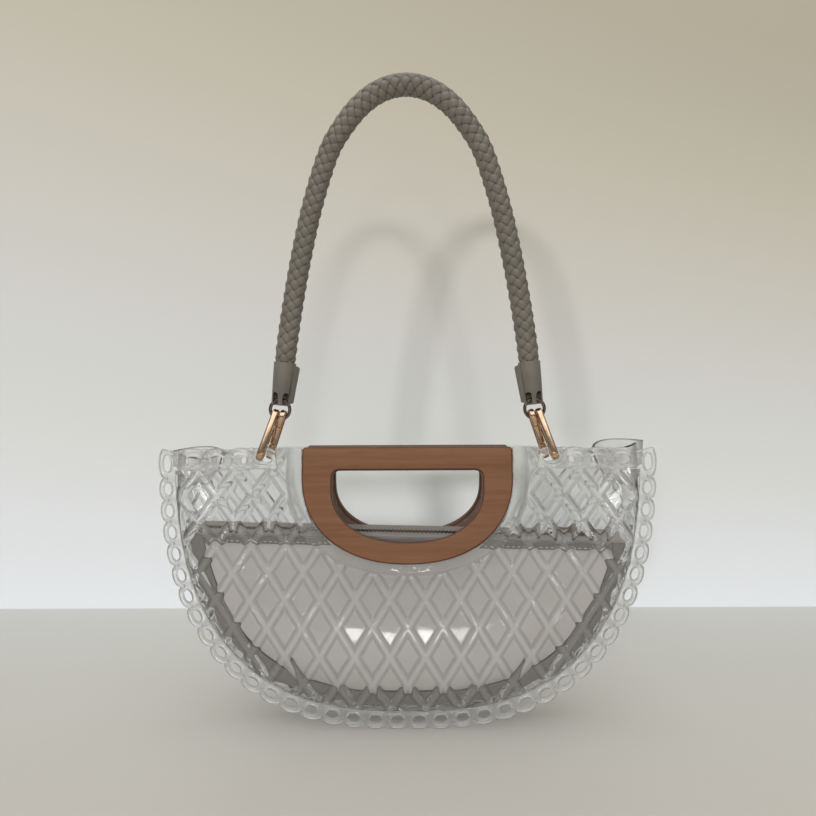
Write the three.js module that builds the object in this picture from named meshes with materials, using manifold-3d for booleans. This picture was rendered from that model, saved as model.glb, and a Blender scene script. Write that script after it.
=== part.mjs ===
// Clear half-moon handbag: two moulded shells and a gusset, wooden D handles, a braided strap on snap
// hooks, and a zipped cloth pouch lying inside.
// Millimetres, +Z up. The origin is on the floor under the middle of the bag, with +X to the right of
// the front view and +Y to the back.
import * as THREE from 'three';
import { mergeVertices } from 'three/addons/utils/BufferGeometryUtils.js';
import Module from 'manifold-3d';

const wasm = await Module();
wasm.setup();

// The gap between pieces that touch
const GAP = 0.3;

// Rim of a shell: a superellipse cut off level at the top, edged with loops round oval eyelets
const RIM_HALF_WIDTH = 160;
const RIM_HEIGHT = 181;
const RIM_FULLNESS = 2.6;
const RIM_DEPTH = 11;
const RIM_THICKNESS = 3;
const RIM_PLANE = 20;
const FOOT_FLAT = 0.6;
const LOOP_COUNT = 38;
const CORNER_LOOP = 19;
const LOOP_NOTCH = 2.8;
const LOOP_EYE = { length: 9.4, height: 4.8 };
const CORNER_EYE_LENGTH = 13;

// The row of loops along the top edge, from the apron to each corner
const TOP_LOOP_COUNT = 4;
const TOP_LOOP_FIRST = 95;
const TOP_LOOP_PITCH = 14.5;
const TOP_LOOP_BASE = 167.5;
const TOP_EYE = { length: 11, height: 5.8, middle: 173 };
const TOP_ROW_END = 86;

// The domed panel inside the rim
const PANEL_THICKNESS = 2;
const PANEL_LAP = 2;
const PANEL_TOP = 180.5;
const MOUTH_HALF_GAP = 5;
const LEAN = 0.19;
const APRON_REACH = 0.53;
const MARGIN_REACH = 0.965;
const FLARE_POWER = 1.2;
const BELLY = 5;
const PANEL_STEPS = { curve: 30, side: 4, apron: 5, inward: 5 };
const LEAST_APRON = 0.4;

// The strip between the two rims
const GUSSET_THICKNESS = 2;
const GUSSET_TOP = 177;
const GUSSET_GAP = 0.4;
const GUSSET_STEPS = 40;

// Wooden handles, measured along their slope from the top edge
const HANDLE_TOP = 180;
const HANDLE_THICKNESS = 6.5;
const HANDLE_EDGE = 1;
const HANDLE_OUTER = { halfWidth: 68.5, top: 0, shoulder: -19, bottom: -75.5, corner: 2.5 };
const HANDLE_INNER = { halfWidth: 49, top: -15, shoulder: -27, bottom: -61.5, corner: 5 };
const HANDLE_FULLNESS = 2.2;
const HANDLE_STEPS = { outer: 22, inner: 20 };
const HAND_CUT_MARGIN = 1.5;
const HAND_MIDDLE = 148;

// Strap: half of its route in the bag's middle plane above the leather sleeve, [x, z]
const STRAP_RADIUS = 7.25;
const STRAP_HALF_ROUTE = [
  [79.7, 250],
  [75.4, 278],
  [69.5, 310],
  [62.2, 342],
  [52.3, 374],
  [44, 390],
  [31.2, 406.5],
  [16.5, 417.2],
];
const STRAP_APEX = 421;
const STRAP_STEPS = 60;
const STRAP_SIDES = 10;

// Leather sleeves and metal rings, measured up from the ring's centre along the leaning strap end
const RING_CENTRE = { x: 84.8, z: 205.7 };
const STRAP_END_LEAN = THREE.MathUtils.degToRad(6.6);
const RING_RADIUS = 6.5;
const RING_WIRE = 1.15;
const SLEEVE_BOTTOM = 4;
const SLEEVE_TOP = 31.5;
const SLEEVE_FLOOR = 19;
const SLEEVE_RADIUS = 8.9;
const SLEEVE_WALL = 1.2;
const SLEEVE_ROUND = 1.6;
const SLEEVE_TAPER = 0.5;
const SLEEVE_SIDES = 16;
const RING_STEPS = { round: 20, wire: 8 };

// Snap hooks: a long oval of flat bar, open on the side towards the inside of the bag
const HOOK_BAR = 2.6;
const HOOK_THICKNESS = 3.4;
const HOOK_CLEAR_HALF = 2.7;
const HOOK_SEAT = { below: 1.1, outside: 0.8, ring: 1.2 };
const HOOK_SPACING = { ring: 4.8, eye: 3.4 };
const GATE_BOTTOM = 9.5;
const GATE_TOP = 23.5;
const GATE_BAR = 2.2;
const GATE_THICKNESS = 3;
const BEND_STEPS = 5;

// Cloth pouch
const POUCH_INSET = RIM_DEPTH + 0.5;
const POUCH_TOP = 118;
const POUCH_EDGE = 7.5;
const POUCH_HALF_DEPTH = 11;
const POUCH_BELLY = 9;
const ROW_SPACING = 1.5;
const SWELL_LOW = 0.7;
const CLOTH = 1.6;
const INNER_TURN = 0.86;
const POUCH_STEPS = { rows: 6, columns: 10, edge: 24 };
const EDGE_ROUND = [[POUCH_EDGE, POUCH_HALF_DEPTH], [2.5, POUCH_HALF_DEPTH - 2], [0, POUCH_HALF_DEPTH - 6]];
const ZIP_RISE = 5.2;
const ZIP_SHOULDER = 3.8;
const ZIP_FLAT = 4;
const ZIP_HALF_LENGTH = 142;
const PULL_AT = 116;
const PULL_WIDTH = 6;
// The slider and its tab in side view, [along, up]
const PULL_PROFILE = [[-5, 0], [5, 0], [5, 2.6], [2, 3.4], [-16, 2.6], [-16, 1.4], [-5, 1.8]];

const MATERIALS = {
  plastic: { color: 0xd9dcda, roughness: 0.12, metalness: 0 },
  wood: { color: 0x7d5b45, roughness: 0.45, metalness: 0 },
  braid: { color: 0x6f6b63, roughness: 0.85, metalness: 0 },
  leather: { color: 0x6a665d, roughness: 0.6, metalness: 0 },
  bronze: { color: 0x5c4a3a, roughness: 0.3, metalness: 1 },
  gold: { color: 0xb08455, roughness: 0.25, metalness: 1 },
  cloth: { color: 0xa29e9a, roughness: 0.9, metalness: 0 },
  edging: { color: 0x6b6865, roughness: 0.8, metalness: 0 },
  brass: { color: 0x9a7648, roughness: 0.35, metalness: 1 },
};

const bag = new THREE.Group();

function piece(name, geometry, finish, parent = bag) {
  const mesh = new THREE.Mesh(geometry, new THREE.MeshStandardMaterial(MATERIALS[finish]));
  mesh.name = name;
  parent.add(mesh);
  return mesh;
}

// A closed geometry with shared corners and no collapsed triangles, as a solid that can be cut
function toSolid(geometry) {
  const bare = geometry.clone();
  bare.deleteAttribute('normal');
  bare.deleteAttribute('uv');
  const merged = mergeVertices(bare, 1e-4);
  const corners = merged.index.array;
  const triangles = [];
  for (let i = 0; i < corners.length; i += 3) {
    const [a, b, c] = [corners[i], corners[i + 1], corners[i + 2]];
    if (a !== b && b !== c && c !== a) {
      triangles.push(a, b, c);
    }
  }
  return new wasm.Manifold(new wasm.Mesh({
    numProp: 3,
    vertProperties: Float32Array.from(merged.attributes.position.array),
    triVerts: Uint32Array.from(triangles),
  }));
}

function toGeometry(solid) {
  const { vertProperties, triVerts } = solid.getMesh();
  return indexed(vertProperties, triVerts);
}

function indexed(positions, corners) {
  const geometry = new THREE.BufferGeometry();
  geometry.setAttribute('position', new THREE.Float32BufferAttribute(positions, 3));
  geometry.setIndex(Array.from(corners));
  geometry.computeVertexNormals();
  return geometry;
}

// Outline of the rim, or of one at a constant inset from it, from the left top corner round to the right
class RimCurve extends THREE.Curve {
  constructor(inset) {
    super();
    this.halfWidth = RIM_HALF_WIDTH - inset;
    this.drop = RIM_HEIGHT - inset;
    this.arcLengthDivisions = 2000;
  }

  getPoint(t, target = new THREE.Vector2()) {
    const across = Math.cos(Math.PI * t);
    const down = Math.sin(Math.PI * t);
    const power = 2 / RIM_FULLNESS;
    const x = -this.halfWidth * Math.sign(across) * Math.abs(across) ** power;
    return target.set(x, RIM_HEIGHT - this.drop * Math.abs(down) ** power);
  }

  // The parameter where the left side passes a height
  crossing(z) {
    return Math.asin(((RIM_HEIGHT - z) / this.drop) ** (RIM_FULLNESS / 2)) / Math.PI;
  }

  // Points between two heights on the left and right sides, with their inward directions
  stations(z, steps) {
    const start = this.crossing(z);
    return Array.from({ length: steps + 1 }, (_, i) => {
      const t = start + (1 - 2 * start) * (i / steps);
      const along = this.getTangent(t);
      return { at: this.getPoint(t), inward: new THREE.Vector2(-along.y, along.x) };
    });
  }
}

const seam = new RimCurve(RIM_DEPTH);

// How far a point of the front view lies from the middle of the top edge (0) towards the seam (1)
function reach(x, z) {
  const across = Math.abs(x) / seam.halfWidth;
  const down = Math.max(RIM_HEIGHT - z, 0) / seam.drop;
  return Math.min((across ** RIM_FULLNESS + down ** RIM_FULLNESS) ** (1 / RIM_FULLNESS), 1);
}

// The highest value of s * s * (1 - s)
const SWELL_PEAK = 4 / 27;

// Half depth of a shell's middle surface: a leaning plane behind the handle, a belly below it, and the
// flat rim outside the seam
function halfDepth(x, z) {
  const beyond = (reach(x, z) - APRON_REACH) / (MARGIN_REACH - APRON_REACH);
  const spread = THREE.MathUtils.clamp(beyond, 0, 1);
  const held = 1 - spread ** FLARE_POWER;
  const leaning = MOUTH_HALF_GAP + LEAN * (HANDLE_TOP - z);
  const swell = spread ** 2 * (1 - spread) / SWELL_PEAK;
  const down = Math.max(RIM_HEIGHT - z, 0) / seam.drop;
  return RIM_PLANE + (leaning - RIM_PLANE) * held + BELLY * swell * down;
}

// A wall of even thickness along Y, through a grid of points; a ring joins its last column to its first
function slab(rows, thickness, isRing) {
  const columns = rows[0].length;
  const spans = isRing ? columns : columns - 1;
  const count = rows.length * columns;
  const positions = [];
  for (const side of [-1, 1]) {
    for (const point of rows.flat()) {
      positions.push(point.x, point.y + side * thickness / 2, point.z);
    }
  }
  const corners = [];
  const quad = (a, b, c, d) => corners.push(a, b, c, a, c, d);
  const at = (row, column) => row * columns + column % columns;
  for (let j = 0; j < rows.length - 1; j += 1) {
    for (let i = 0; i < spans; i += 1) {
      const [a, b, c, d] = [at(j, i), at(j, i + 1), at(j + 1, i + 1), at(j + 1, i)];
      quad(a, b, c, d);
      quad(d + count, c + count, b + count, a + count);
    }
  }
  const last = rows.length - 1;
  for (let i = 0; i < spans; i += 1) {
    quad(at(0, i + 1), at(0, i), at(0, i) + count, at(0, i + 1) + count);
    quad(at(last, i), at(last, i + 1), at(last, i + 1) + count, at(last, i) + count);
  }
  if (!isRing) {
    for (let j = 0; j < last; j += 1) {
      quad(at(j, 0), at(j + 1, 0), at(j + 1, 0) + count, at(j, 0) + count);
      quad(at(j + 1, spans), at(j, spans), at(j, spans) + count, at(j + 1, spans) + count);
    }
  }
  return indexed(positions, corners);
}

// A closed section of [inset, y] points carried along stations in the front view
function sweep(stations, section) {
  const outline = section.map(([inset, y]) => new THREE.Vector2(inset, y));
  if (THREE.ShapeUtils.isClockWise(outline)) {
    outline.reverse();
  }
  const size = outline.length;
  const positions = stations.flatMap(({ at, inward }) => outline.flatMap(({ x: inset, y }) => [
    at.x + inward.x * inset, y, at.y + inward.y * inset,
  ]));
  const corners = [];
  for (let s = 0; s < stations.length - 1; s += 1) {
    for (let i = 0; i < size; i += 1) {
      const [a, b] = [s * size + i, s * size + (i + 1) % size];
      corners.push(b, a, a + size, b, a + size, b + size);
    }
  }
  const end = (stations.length - 1) * size;
  for (const [a, b, c] of THREE.ShapeUtils.triangulateShape(outline, [])) {
    corners.push(a, b, c, end + a, end + c, end + b);
  }
  return indexed(positions, corners);
}

// Six-sided oval eyelet, turned by an angle in the front view
function eyelet(centre, { length, height }, angle) {
  const corners = [[1, 0], [0.7, 1], [-0.7, 1], [-1, 0], [-0.7, -1], [0.7, -1]];
  const points = corners.map(([along, across]) => new THREE.Vector2(along * length / 2, across * height / 2)
    .rotateAround(new THREE.Vector2(), angle)
    .add(centre));
  return new THREE.Path(points);
}

// Scallop of a loop: how far its edge stands out at a fraction of its length
function scallop(fraction) {
  return LOOP_NOTCH * (Math.sqrt(Math.sin(Math.PI * fraction)) - 1);
}

const LOOP_FRACTIONS = [0, 0.3, 0.7];

// The loops round the curved edge: outline points and eyelets
function curvedLoops() {
  const middle = new RimCurve(RIM_DEPTH / 2);
  const total = middle.getLength();
  const pitch = (total - 2 * CORNER_LOOP) / (LOOP_COUNT - 2);
  const edge = [];
  const eyes = [];
  let start = 0;
  for (let k = 0; k < LOOP_COUNT; k += 1) {
    const isCorner = k === 0 || k === LOOP_COUNT - 1;
    const length = isCorner ? CORNER_LOOP : pitch;
    for (const fraction of LOOP_FRACTIONS) {
      const u = (start + fraction * length) / total;
      const at = middle.getPointAt(u);
      const along = middle.getTangentAt(u);
      const out = RIM_DEPTH / 2 + scallop(fraction);
      const z = at.y - along.x * out;
      const lowered = (z - FOOT_FLAT) * RIM_HEIGHT / (RIM_HEIGHT - FOOT_FLAT);
      edge.push(new THREE.Vector2(at.x + along.y * out, Math.max(lowered, 0)));
    }
    const u = (start + length / 2) / total;
    const size = { ...LOOP_EYE, length: isCorner ? CORNER_EYE_LENGTH : LOOP_EYE.length };
    eyes.push(eyelet(middle.getPointAt(u), size, middle.getTangentAt(u).angle()));
    start += length;
  }
  edge.push(edge[0].clone().setX(-edge[0].x));
  return { edge, eyes };
}

// The loops along the right half of the top edge, from the corner inwards
function topLoops() {
  const edge = [];
  const eyes = [];
  for (let k = TOP_LOOP_COUNT - 1; k >= 0; k -= 1) {
    const middle = TOP_LOOP_FIRST + TOP_LOOP_PITCH * k;
    for (const fraction of LOOP_FRACTIONS) {
      const x = middle + TOP_LOOP_PITCH * (0.5 - fraction);
      edge.push(new THREE.Vector2(x, RIM_HEIGHT + scallop(fraction)));
    }
    eyes.push(new THREE.Vector2(middle, TOP_EYE.middle));
  }
  edge.push(new THREE.Vector2(TOP_ROW_END, RIM_HEIGHT + scallop(0)));
  const base = [new THREE.Vector2(TOP_ROW_END, TOP_LOOP_BASE)];
  for (let k = 0; k < TOP_LOOP_COUNT - 1; k += 1) {
    base.push(new THREE.Vector2(TOP_LOOP_FIRST + TOP_LOOP_PITCH * (k + 0.5), TOP_LOOP_BASE));
  }
  return { edge, base, eyes };
}

// The band of loops as one plate, pressed to the shell's depth
function rimBand() {
  const curved = curvedLoops();
  const top = topLoops();
  const mirrored = (points) => points.map((p) => new THREE.Vector2(-p.x, p.y)).reverse();
  const inner = seam.stations(TOP_LOOP_BASE, LOOP_COUNT + 2).map(({ at }) => at).reverse();
  const shape = new THREE.Shape([
    ...curved.edge, ...top.edge, ...top.base, ...inner, ...mirrored(top.base), ...mirrored(top.edge),
  ]);
  shape.holes = [...curved.eyes];
  for (const eye of top.eyes) {
    shape.holes.push(eyelet(eye, TOP_EYE, 0));
    shape.holes.push(eyelet(new THREE.Vector2(-eye.x, eye.y), TOP_EYE, 0));
  }
  const geometry = new THREE.ExtrudeGeometry(shape, { depth: RIM_THICKNESS, bevelEnabled: false });
  geometry.translate(0, 0, -RIM_THICKNESS / 2);
  geometry.rotateX(Math.PI / 2);
  const position = geometry.attributes.position;
  for (let i = 0; i < position.count; i += 1) {
    const [x, y, z] = [position.getX(i), position.getY(i), position.getZ(i)];
    position.setY(i, y - halfDepth(x, z));
  }
  return geometry;
}

// D outline from its left top corner down and round to the right: straight sides, then a superellipse
function dOutline({ halfWidth, top, shoulder, bottom, corner }, steps) {
  const points = [new THREE.Vector2(-halfWidth + corner, top), new THREE.Vector2(-halfWidth, top - corner)];
  for (let i = 0; i <= steps; i += 1) {
    const angle = Math.PI * i / steps;
    const power = 2 / HANDLE_FULLNESS;
    const x = -halfWidth * Math.sign(Math.cos(angle)) * Math.abs(Math.cos(angle)) ** power;
    points.push(new THREE.Vector2(x, shoulder - (shoulder - bottom) * Math.sin(angle) ** power));
  }
  points.push(new THREE.Vector2(halfWidth, top - corner), new THREE.Vector2(halfWidth - corner, top));
  return points;
}

// Whether a point of the front view lies in the hand opening cut through a shell
function inHandCut(x, z) {
  const slope = Math.hypot(1, LEAN);
  const { halfWidth, top, shoulder, bottom } = HANDLE_INNER;
  const across = Math.abs(x) / (halfWidth + HAND_CUT_MARGIN);
  const along = (z - HANDLE_TOP) * slope;
  const below = Math.max(shoulder - along, 0) / (shoulder - bottom + HAND_CUT_MARGIN);
  return along < top + HAND_CUT_MARGIN && across ** HANDLE_FULLNESS + below ** HANDLE_FULLNESS < 1;
}

// The largest fraction of the way from one point to another where a test still holds
function lastWhere(from, to, holds) {
  let [low, high] = [0, 1];
  for (let i = 0; i < 30; i += 1) {
    const middle = (low + high) / 2;
    const point = from.clone().lerp(to, middle);
    if (holds(point.x, point.y)) {
      low = middle;
    } else {
      high = middle;
    }
  }
  return low;
}

// The domed sheet from the rim in to the hand opening
function domedPanel() {
  const lap = new RimCurve(RIM_DEPTH - PANEL_LAP);
  const lapTop = TOP_LOOP_BASE + PANEL_LAP;
  const curve = lap.stations(lapTop, PANEL_STEPS.curve).map(({ at }) => at);
  const cornerX = curve[curve.length - 1].x;
  const rightTop = [];
  for (let i = 1; i <= PANEL_STEPS.side; i += 1) {
    const x = THREE.MathUtils.lerp(cornerX, TOP_ROW_END + PANEL_LAP, i / PANEL_STEPS.side);
    rightTop.push(new THREE.Vector2(x, lapTop));
  }
  const apronEdge = TOP_ROW_END + PANEL_LAP / 2;
  for (let i = 0; i < PANEL_STEPS.apron; i += 1) {
    rightTop.push(new THREE.Vector2(apronEdge * (1 - i / PANEL_STEPS.apron), PANEL_TOP));
  }
  const leftTop = rightTop.map((p) => new THREE.Vector2(-p.x, p.y)).reverse();
  const outer = [...curve, ...rightTop, new THREE.Vector2(0, PANEL_TOP), ...leftTop];
  outer.pop();
  const middle = new THREE.Vector2(0, HAND_MIDDLE);
  const rows = Array.from({ length: PANEL_STEPS.inward + 1 }, () => []);
  for (const edge of outer) {
    const cut = middle.clone().lerp(edge, lastWhere(middle, edge, inHandCut));
    const apron = lastWhere(edge, cut, (x, z) => reach(x, z) > APRON_REACH);
    const toApron = Math.max(apron, LEAST_APRON) / (PANEL_STEPS.inward - 1);
    rows.forEach((row, j) => {
      const fraction = j < PANEL_STEPS.inward ? toApron * j : 1;
      const point = edge.clone().lerp(cut, fraction);
      row.push(new THREE.Vector3(point.x, -halfDepth(point.x, point.y), point.y));
    });
  }
  return slab(rows, PANEL_THICKNESS, true);
}

function shells() {
  const geometry = toGeometry(toSolid(rimBand()).add(toSolid(domedPanel())));
  piece('front_shell', geometry, 'plastic');
  piece('back_shell', geometry.clone(), 'plastic').rotation.z = Math.PI;
}

function gusset() {
  const half = RIM_PLANE - RIM_THICKNESS / 2 - GUSSET_GAP;
  const section = [[0, -half], [0, half], [-GUSSET_THICKNESS, half], [-GUSSET_THICKNESS, -half]];
  piece('gusset', sweep(seam.stations(GUSSET_TOP, GUSSET_STEPS), section), 'plastic');
}

// A wooden D plate lying on the leaning part of each shell
function handles() {
  const shape = new THREE.Shape(dOutline(HANDLE_OUTER, HANDLE_STEPS.outer));
  shape.holes = [new THREE.Path(dOutline(HANDLE_INNER, HANDLE_STEPS.inner))];
  const geometry = new THREE.ExtrudeGeometry(shape, {
    depth: HANDLE_THICKNESS - 2 * HANDLE_EDGE,
    bevelSize: HANDLE_EDGE,
    bevelOffset: -HANDLE_EDGE,
    bevelThickness: HANDLE_EDGE,
    bevelSegments: 1,
  });
  geometry.translate(0, 0, HANDLE_EDGE + GAP);
  for (const [name, turn] of [['front_handle', 0], ['back_handle', Math.PI]]) {
    const side = new THREE.Group();
    side.rotation.z = turn;
    bag.add(side);
    const handle = piece(name, geometry.clone(), 'wood', side);
    handle.position.set(0, -MOUTH_HALF_GAP - PANEL_THICKNESS / 2, HANDLE_TOP);
    handle.rotation.x = Math.PI / 2 - Math.atan(LEAN);
  }
}

// A group at a ring's centre, its Z along the strap's leaning end
function strapEnd(side) {
  const end = new THREE.Group();
  end.position.set(side * RING_CENTRE.x, 0, RING_CENTRE.z);
  end.rotation.y = -side * STRAP_END_LEAN;
  bag.add(end);
  end.updateMatrixWorld();
  return end;
}

const ends = { left: strapEnd(-1), right: strapEnd(1) };

function strap() {
  const leg = (end) => [SLEEVE_FLOOR + GAP, (SLEEVE_FLOOR + SLEEVE_TOP) / 2, SLEEVE_TOP + 1].map((up) => (
    end.localToWorld(new THREE.Vector3(0, 0, up))));
  const route = [
    ...leg(ends.left),
    ...STRAP_HALF_ROUTE.map(([x, z]) => new THREE.Vector3(-x, 0, z)),
    new THREE.Vector3(0, 0, STRAP_APEX),
    ...STRAP_HALF_ROUTE.map(([x, z]) => new THREE.Vector3(x, 0, z)).reverse(),
    ...leg(ends.right).reverse(),
  ];
  const section = new THREE.Shape();
  for (let i = 0; i < STRAP_SIDES; i += 1) {
    const angle = 2 * Math.PI * i / STRAP_SIDES;
    const [x, y] = [STRAP_RADIUS * Math.cos(angle), STRAP_RADIUS * Math.sin(angle)];
    if (i === 0) {
      section.moveTo(x, y);
    } else {
      section.lineTo(x, y);
    }
  }
  const extrudePath = new THREE.CatmullRomCurve3(route);
  piece('strap', new THREE.ExtrudeGeometry(section, { steps: STRAP_STEPS, extrudePath }), 'braid');
}

// A sleeve with a socket for the strap, its floor pierced by the ring
function sleevesAndRings() {
  const socket = SLEEVE_RADIUS - SLEEVE_WALL;
  const profile = [
    [0, SLEEVE_BOTTOM],
    [SLEEVE_RADIUS - SLEEVE_ROUND, SLEEVE_BOTTOM],
    [SLEEVE_RADIUS - SLEEVE_TAPER, SLEEVE_BOTTOM + SLEEVE_ROUND],
    [SLEEVE_RADIUS, SLEEVE_TOP],
    [socket, SLEEVE_TOP],
    [socket, SLEEVE_FLOOR],
    [0, SLEEVE_FLOOR],
  ].map(([radius, up]) => new THREE.Vector2(radius, up));
  const sleeve = new THREE.LatheGeometry(profile, SLEEVE_SIDES);
  sleeve.rotateX(Math.PI / 2);
  const torus = (wire) => new THREE.TorusGeometry(RING_RADIUS, wire, RING_STEPS.wire, RING_STEPS.round)
    .rotateX(Math.PI / 2);
  const geometry = toGeometry(toSolid(sleeve).subtract(toSolid(torus(RING_WIRE + GAP))));
  for (const [side, end] of Object.entries(ends)) {
    piece(`strap_cap_${side}`, geometry.clone(), 'leather', end);
    piece(`strap_ring_${side}`, torus(RING_WIRE), 'bronze', end);
  }
}

// Outline of a hook of a given clear length, its gate side at +X and its lower bend at the origin
function hookShape(length) {
  const [inner, outer] = [HOOK_CLEAR_HALF, HOOK_CLEAR_HALF + HOOK_BAR];
  const [low, high] = [HOOK_CLEAR_HALF, length - HOOK_CLEAR_HALF];
  const shape = new THREE.Shape();
  shape.moveTo(outer, GATE_TOP);
  shape.lineTo(outer, high);
  shape.absarc(0, high, outer, 0, Math.PI, false);
  shape.lineTo(-outer, low);
  shape.absarc(0, low, outer, Math.PI, 2 * Math.PI, false);
  shape.lineTo(outer, GATE_BOTTOM);
  shape.lineTo(inner, GATE_BOTTOM);
  shape.lineTo(inner, low);
  shape.absarc(0, low, inner, 2 * Math.PI, Math.PI, true);
  shape.lineTo(-inner, high);
  shape.absarc(0, high, inner, Math.PI, 0, true);
  shape.lineTo(inner, GATE_TOP);
  return shape;
}

// Outline of a gate hanging from its pin at the origin
function gateShape() {
  const radius = GATE_BAR / 2;
  const shape = new THREE.Shape();
  shape.absarc(0, 0, radius, 0, Math.PI, false);
  shape.absarc(0, GATE_BOTTOM - GATE_TOP + 2 * (radius + GAP), radius, Math.PI, 2 * Math.PI, false);
  return shape;
}

function plate(shape, thickness) {
  const geometry = new THREE.ExtrudeGeometry(shape, {
    depth: thickness,
    bevelEnabled: false,
    curveSegments: BEND_STEPS,
  });
  return geometry.translate(0, 0, -thickness / 2);
}

// One hook from a top eyelet of a shell up to the ring, with its gate on the inside of the bag
function hook(face, side) {
  const facing = face === 'front' ? -1 : 1;
  const hand = side === 'left' ? -1 : 1;
  const outward = -facing * hand;
  const eyeX = hand * TOP_LOOP_FIRST + outward * HOOK_SPACING.eye / 2;
  const eyeTop = TOP_EYE.middle + TOP_EYE.height / 2 - HOOK_SEAT.below;
  const eyeY = facing * (halfDepth(eyeX, eyeTop) + HOOK_SEAT.outside);
  const eye = new THREE.Vector3(eyeX, eyeY, eyeTop);
  const apart = outward * HOOK_SPACING.ring / 2;
  const farEdge = Math.abs(apart) + HOOK_THICKNESS / 2;
  const wireTop = RING_WIRE + HOOK_SEAT.ring - Math.sqrt(RING_RADIUS ** 2 - farEdge ** 2);
  const ring = ends[side].localToWorld(new THREE.Vector3(apart, 0, wireTop));
  const up = ring.clone().sub(eye).normalize();
  const inward = new THREE.Vector3(0, -facing, 0).projectOnPlane(up).normalize();
  const frame = new THREE.Matrix4().makeBasis(inward, up, inward.clone().cross(up));
  const group = new THREE.Group();
  group.position.copy(eye);
  group.quaternion.setFromRotationMatrix(frame);
  bag.add(group);
  piece(`hook_${face}_${side}`, plate(hookShape(eye.distanceTo(ring)), HOOK_THICKNESS), 'gold', group);
  const gate = piece(`gate_${face}_${side}`, plate(gateShape(), GATE_THICKNESS), 'gold', group);
  gate.position.set(HOOK_CLEAR_HALF + HOOK_BAR / 2, GATE_TOP - GAP - GATE_BAR / 2, 0);
}

// One face of the pouch, domed and with a level top
function pouchPanel(facing) {
  const outline = new RimCurve(POUCH_INSET + POUCH_EDGE + GAP);
  const [bottom, top] = [RIM_HEIGHT - outline.drop + 1, POUCH_TOP];
  const { rows: bands, columns } = POUCH_STEPS;
  const rows = [];
  for (let j = 0; j <= bands; j += 1) {
    const rise = j / bands;
    const z = bottom + (top - bottom) * rise ** ROW_SPACING;
    const halfWidth = -outline.getPoint(outline.crossing(z)).x;
    const row = [];
    for (let i = 0; i <= columns; i += 1) {
      const across = 2 * i / columns - 1;
      const swell = (1 - across ** 4) * Math.sin(Math.PI * rise ** SWELL_LOW);
      row.push(new THREE.Vector3(halfWidth * across, facing * (POUCH_HALF_DEPTH + POUCH_BELLY * swell), z));
    }
    rows.push(row);
  }
  return slab(rows, CLOTH, false);
}

// The pouch's edge strip, rounded over onto both faces
function pouchEdging() {
  const outer = [...EDGE_ROUND, ...EDGE_ROUND.map(([inset, y]) => [inset, -y]).reverse()];
  const inner = outer.map(([inset, y]) => {
    const deeper = inset < POUCH_EDGE ? inset + CLOTH : inset;
    return [deeper, y * INNER_TURN];
  }).reverse();
  const outline = new RimCurve(POUCH_INSET);
  return sweep(outline.stations(POUCH_TOP - CLOTH, POUCH_STEPS.edge), [...outer, ...inner]);
}

// The strip with the zip, arched over the pouch's top
function pouchZip() {
  const half = [[POUCH_HALF_DEPTH, 0], [POUCH_HALF_DEPTH - 2, ZIP_SHOULDER], [ZIP_FLAT, ZIP_RISE]];
  const outer = [...half, ...half.map(([y, up]) => [-y, up]).reverse()];
  const inner = outer.map(([y, up]) => [y * INNER_TURN, Math.max(up - CLOTH, 0)]).reverse();
  const shape = new THREE.Shape([...outer, ...inner].map(([y, up]) => new THREE.Vector2(y, up)));
  const geometry = new THREE.ExtrudeGeometry(shape, { depth: 2 * ZIP_HALF_LENGTH, bevelEnabled: false });
  geometry.translate(0, 0, -ZIP_HALF_LENGTH);
  const toBag = new THREE.Matrix4().makeBasis(
    new THREE.Vector3(0, 1, 0), new THREE.Vector3(0, 0, 1), new THREE.Vector3(1, 0, 0));
  geometry.applyMatrix4(toBag);
  return geometry.translate(0, 0, POUCH_TOP + GAP);
}

// Slider with its tab lying along the zip
function zipPull() {
  const shape = new THREE.Shape(PULL_PROFILE.map(([along, up]) => new THREE.Vector2(along, up)));
  const geometry = plate(shape, PULL_WIDTH);
  geometry.rotateX(Math.PI / 2);
  return geometry.translate(PULL_AT, 0, POUCH_TOP + 2 * GAP + ZIP_RISE);
}

function pouch() {
  piece('pouch_front', pouchPanel(-1), 'cloth');
  piece('pouch_back', pouchPanel(1), 'cloth');
  piece('pouch_gusset', pouchEdging(), 'edging');
  piece('pouch_zip', pouchZip(), 'edging');
  piece('zip_pull', zipPull(), 'brass');
}

shells();
gusset();
handles();
strap();
sleevesAndRings();
for (const face of ['front', 'back']) {
  for (const side of ['left', 'right']) {
    hook(face, side);
  }
}
pouch();

export default bag;
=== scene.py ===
"""Looks of a clear half-moon handbag: moulded PVC shells with raised diamond ribs, wooden D handles, a
braided strap on snap hooks, and a zipped cloth pouch lying inside.

Sizes are millimetres in the CAD frame: +Z up, +X to the right of the front view, +Y to the back. Each
finished mesh is scaled to metres."""
import bisect
import math
from itertools import accumulate, pairwise

import bmesh
import bpy
from mathutils import Matrix, Vector, kdtree, noise


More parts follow.
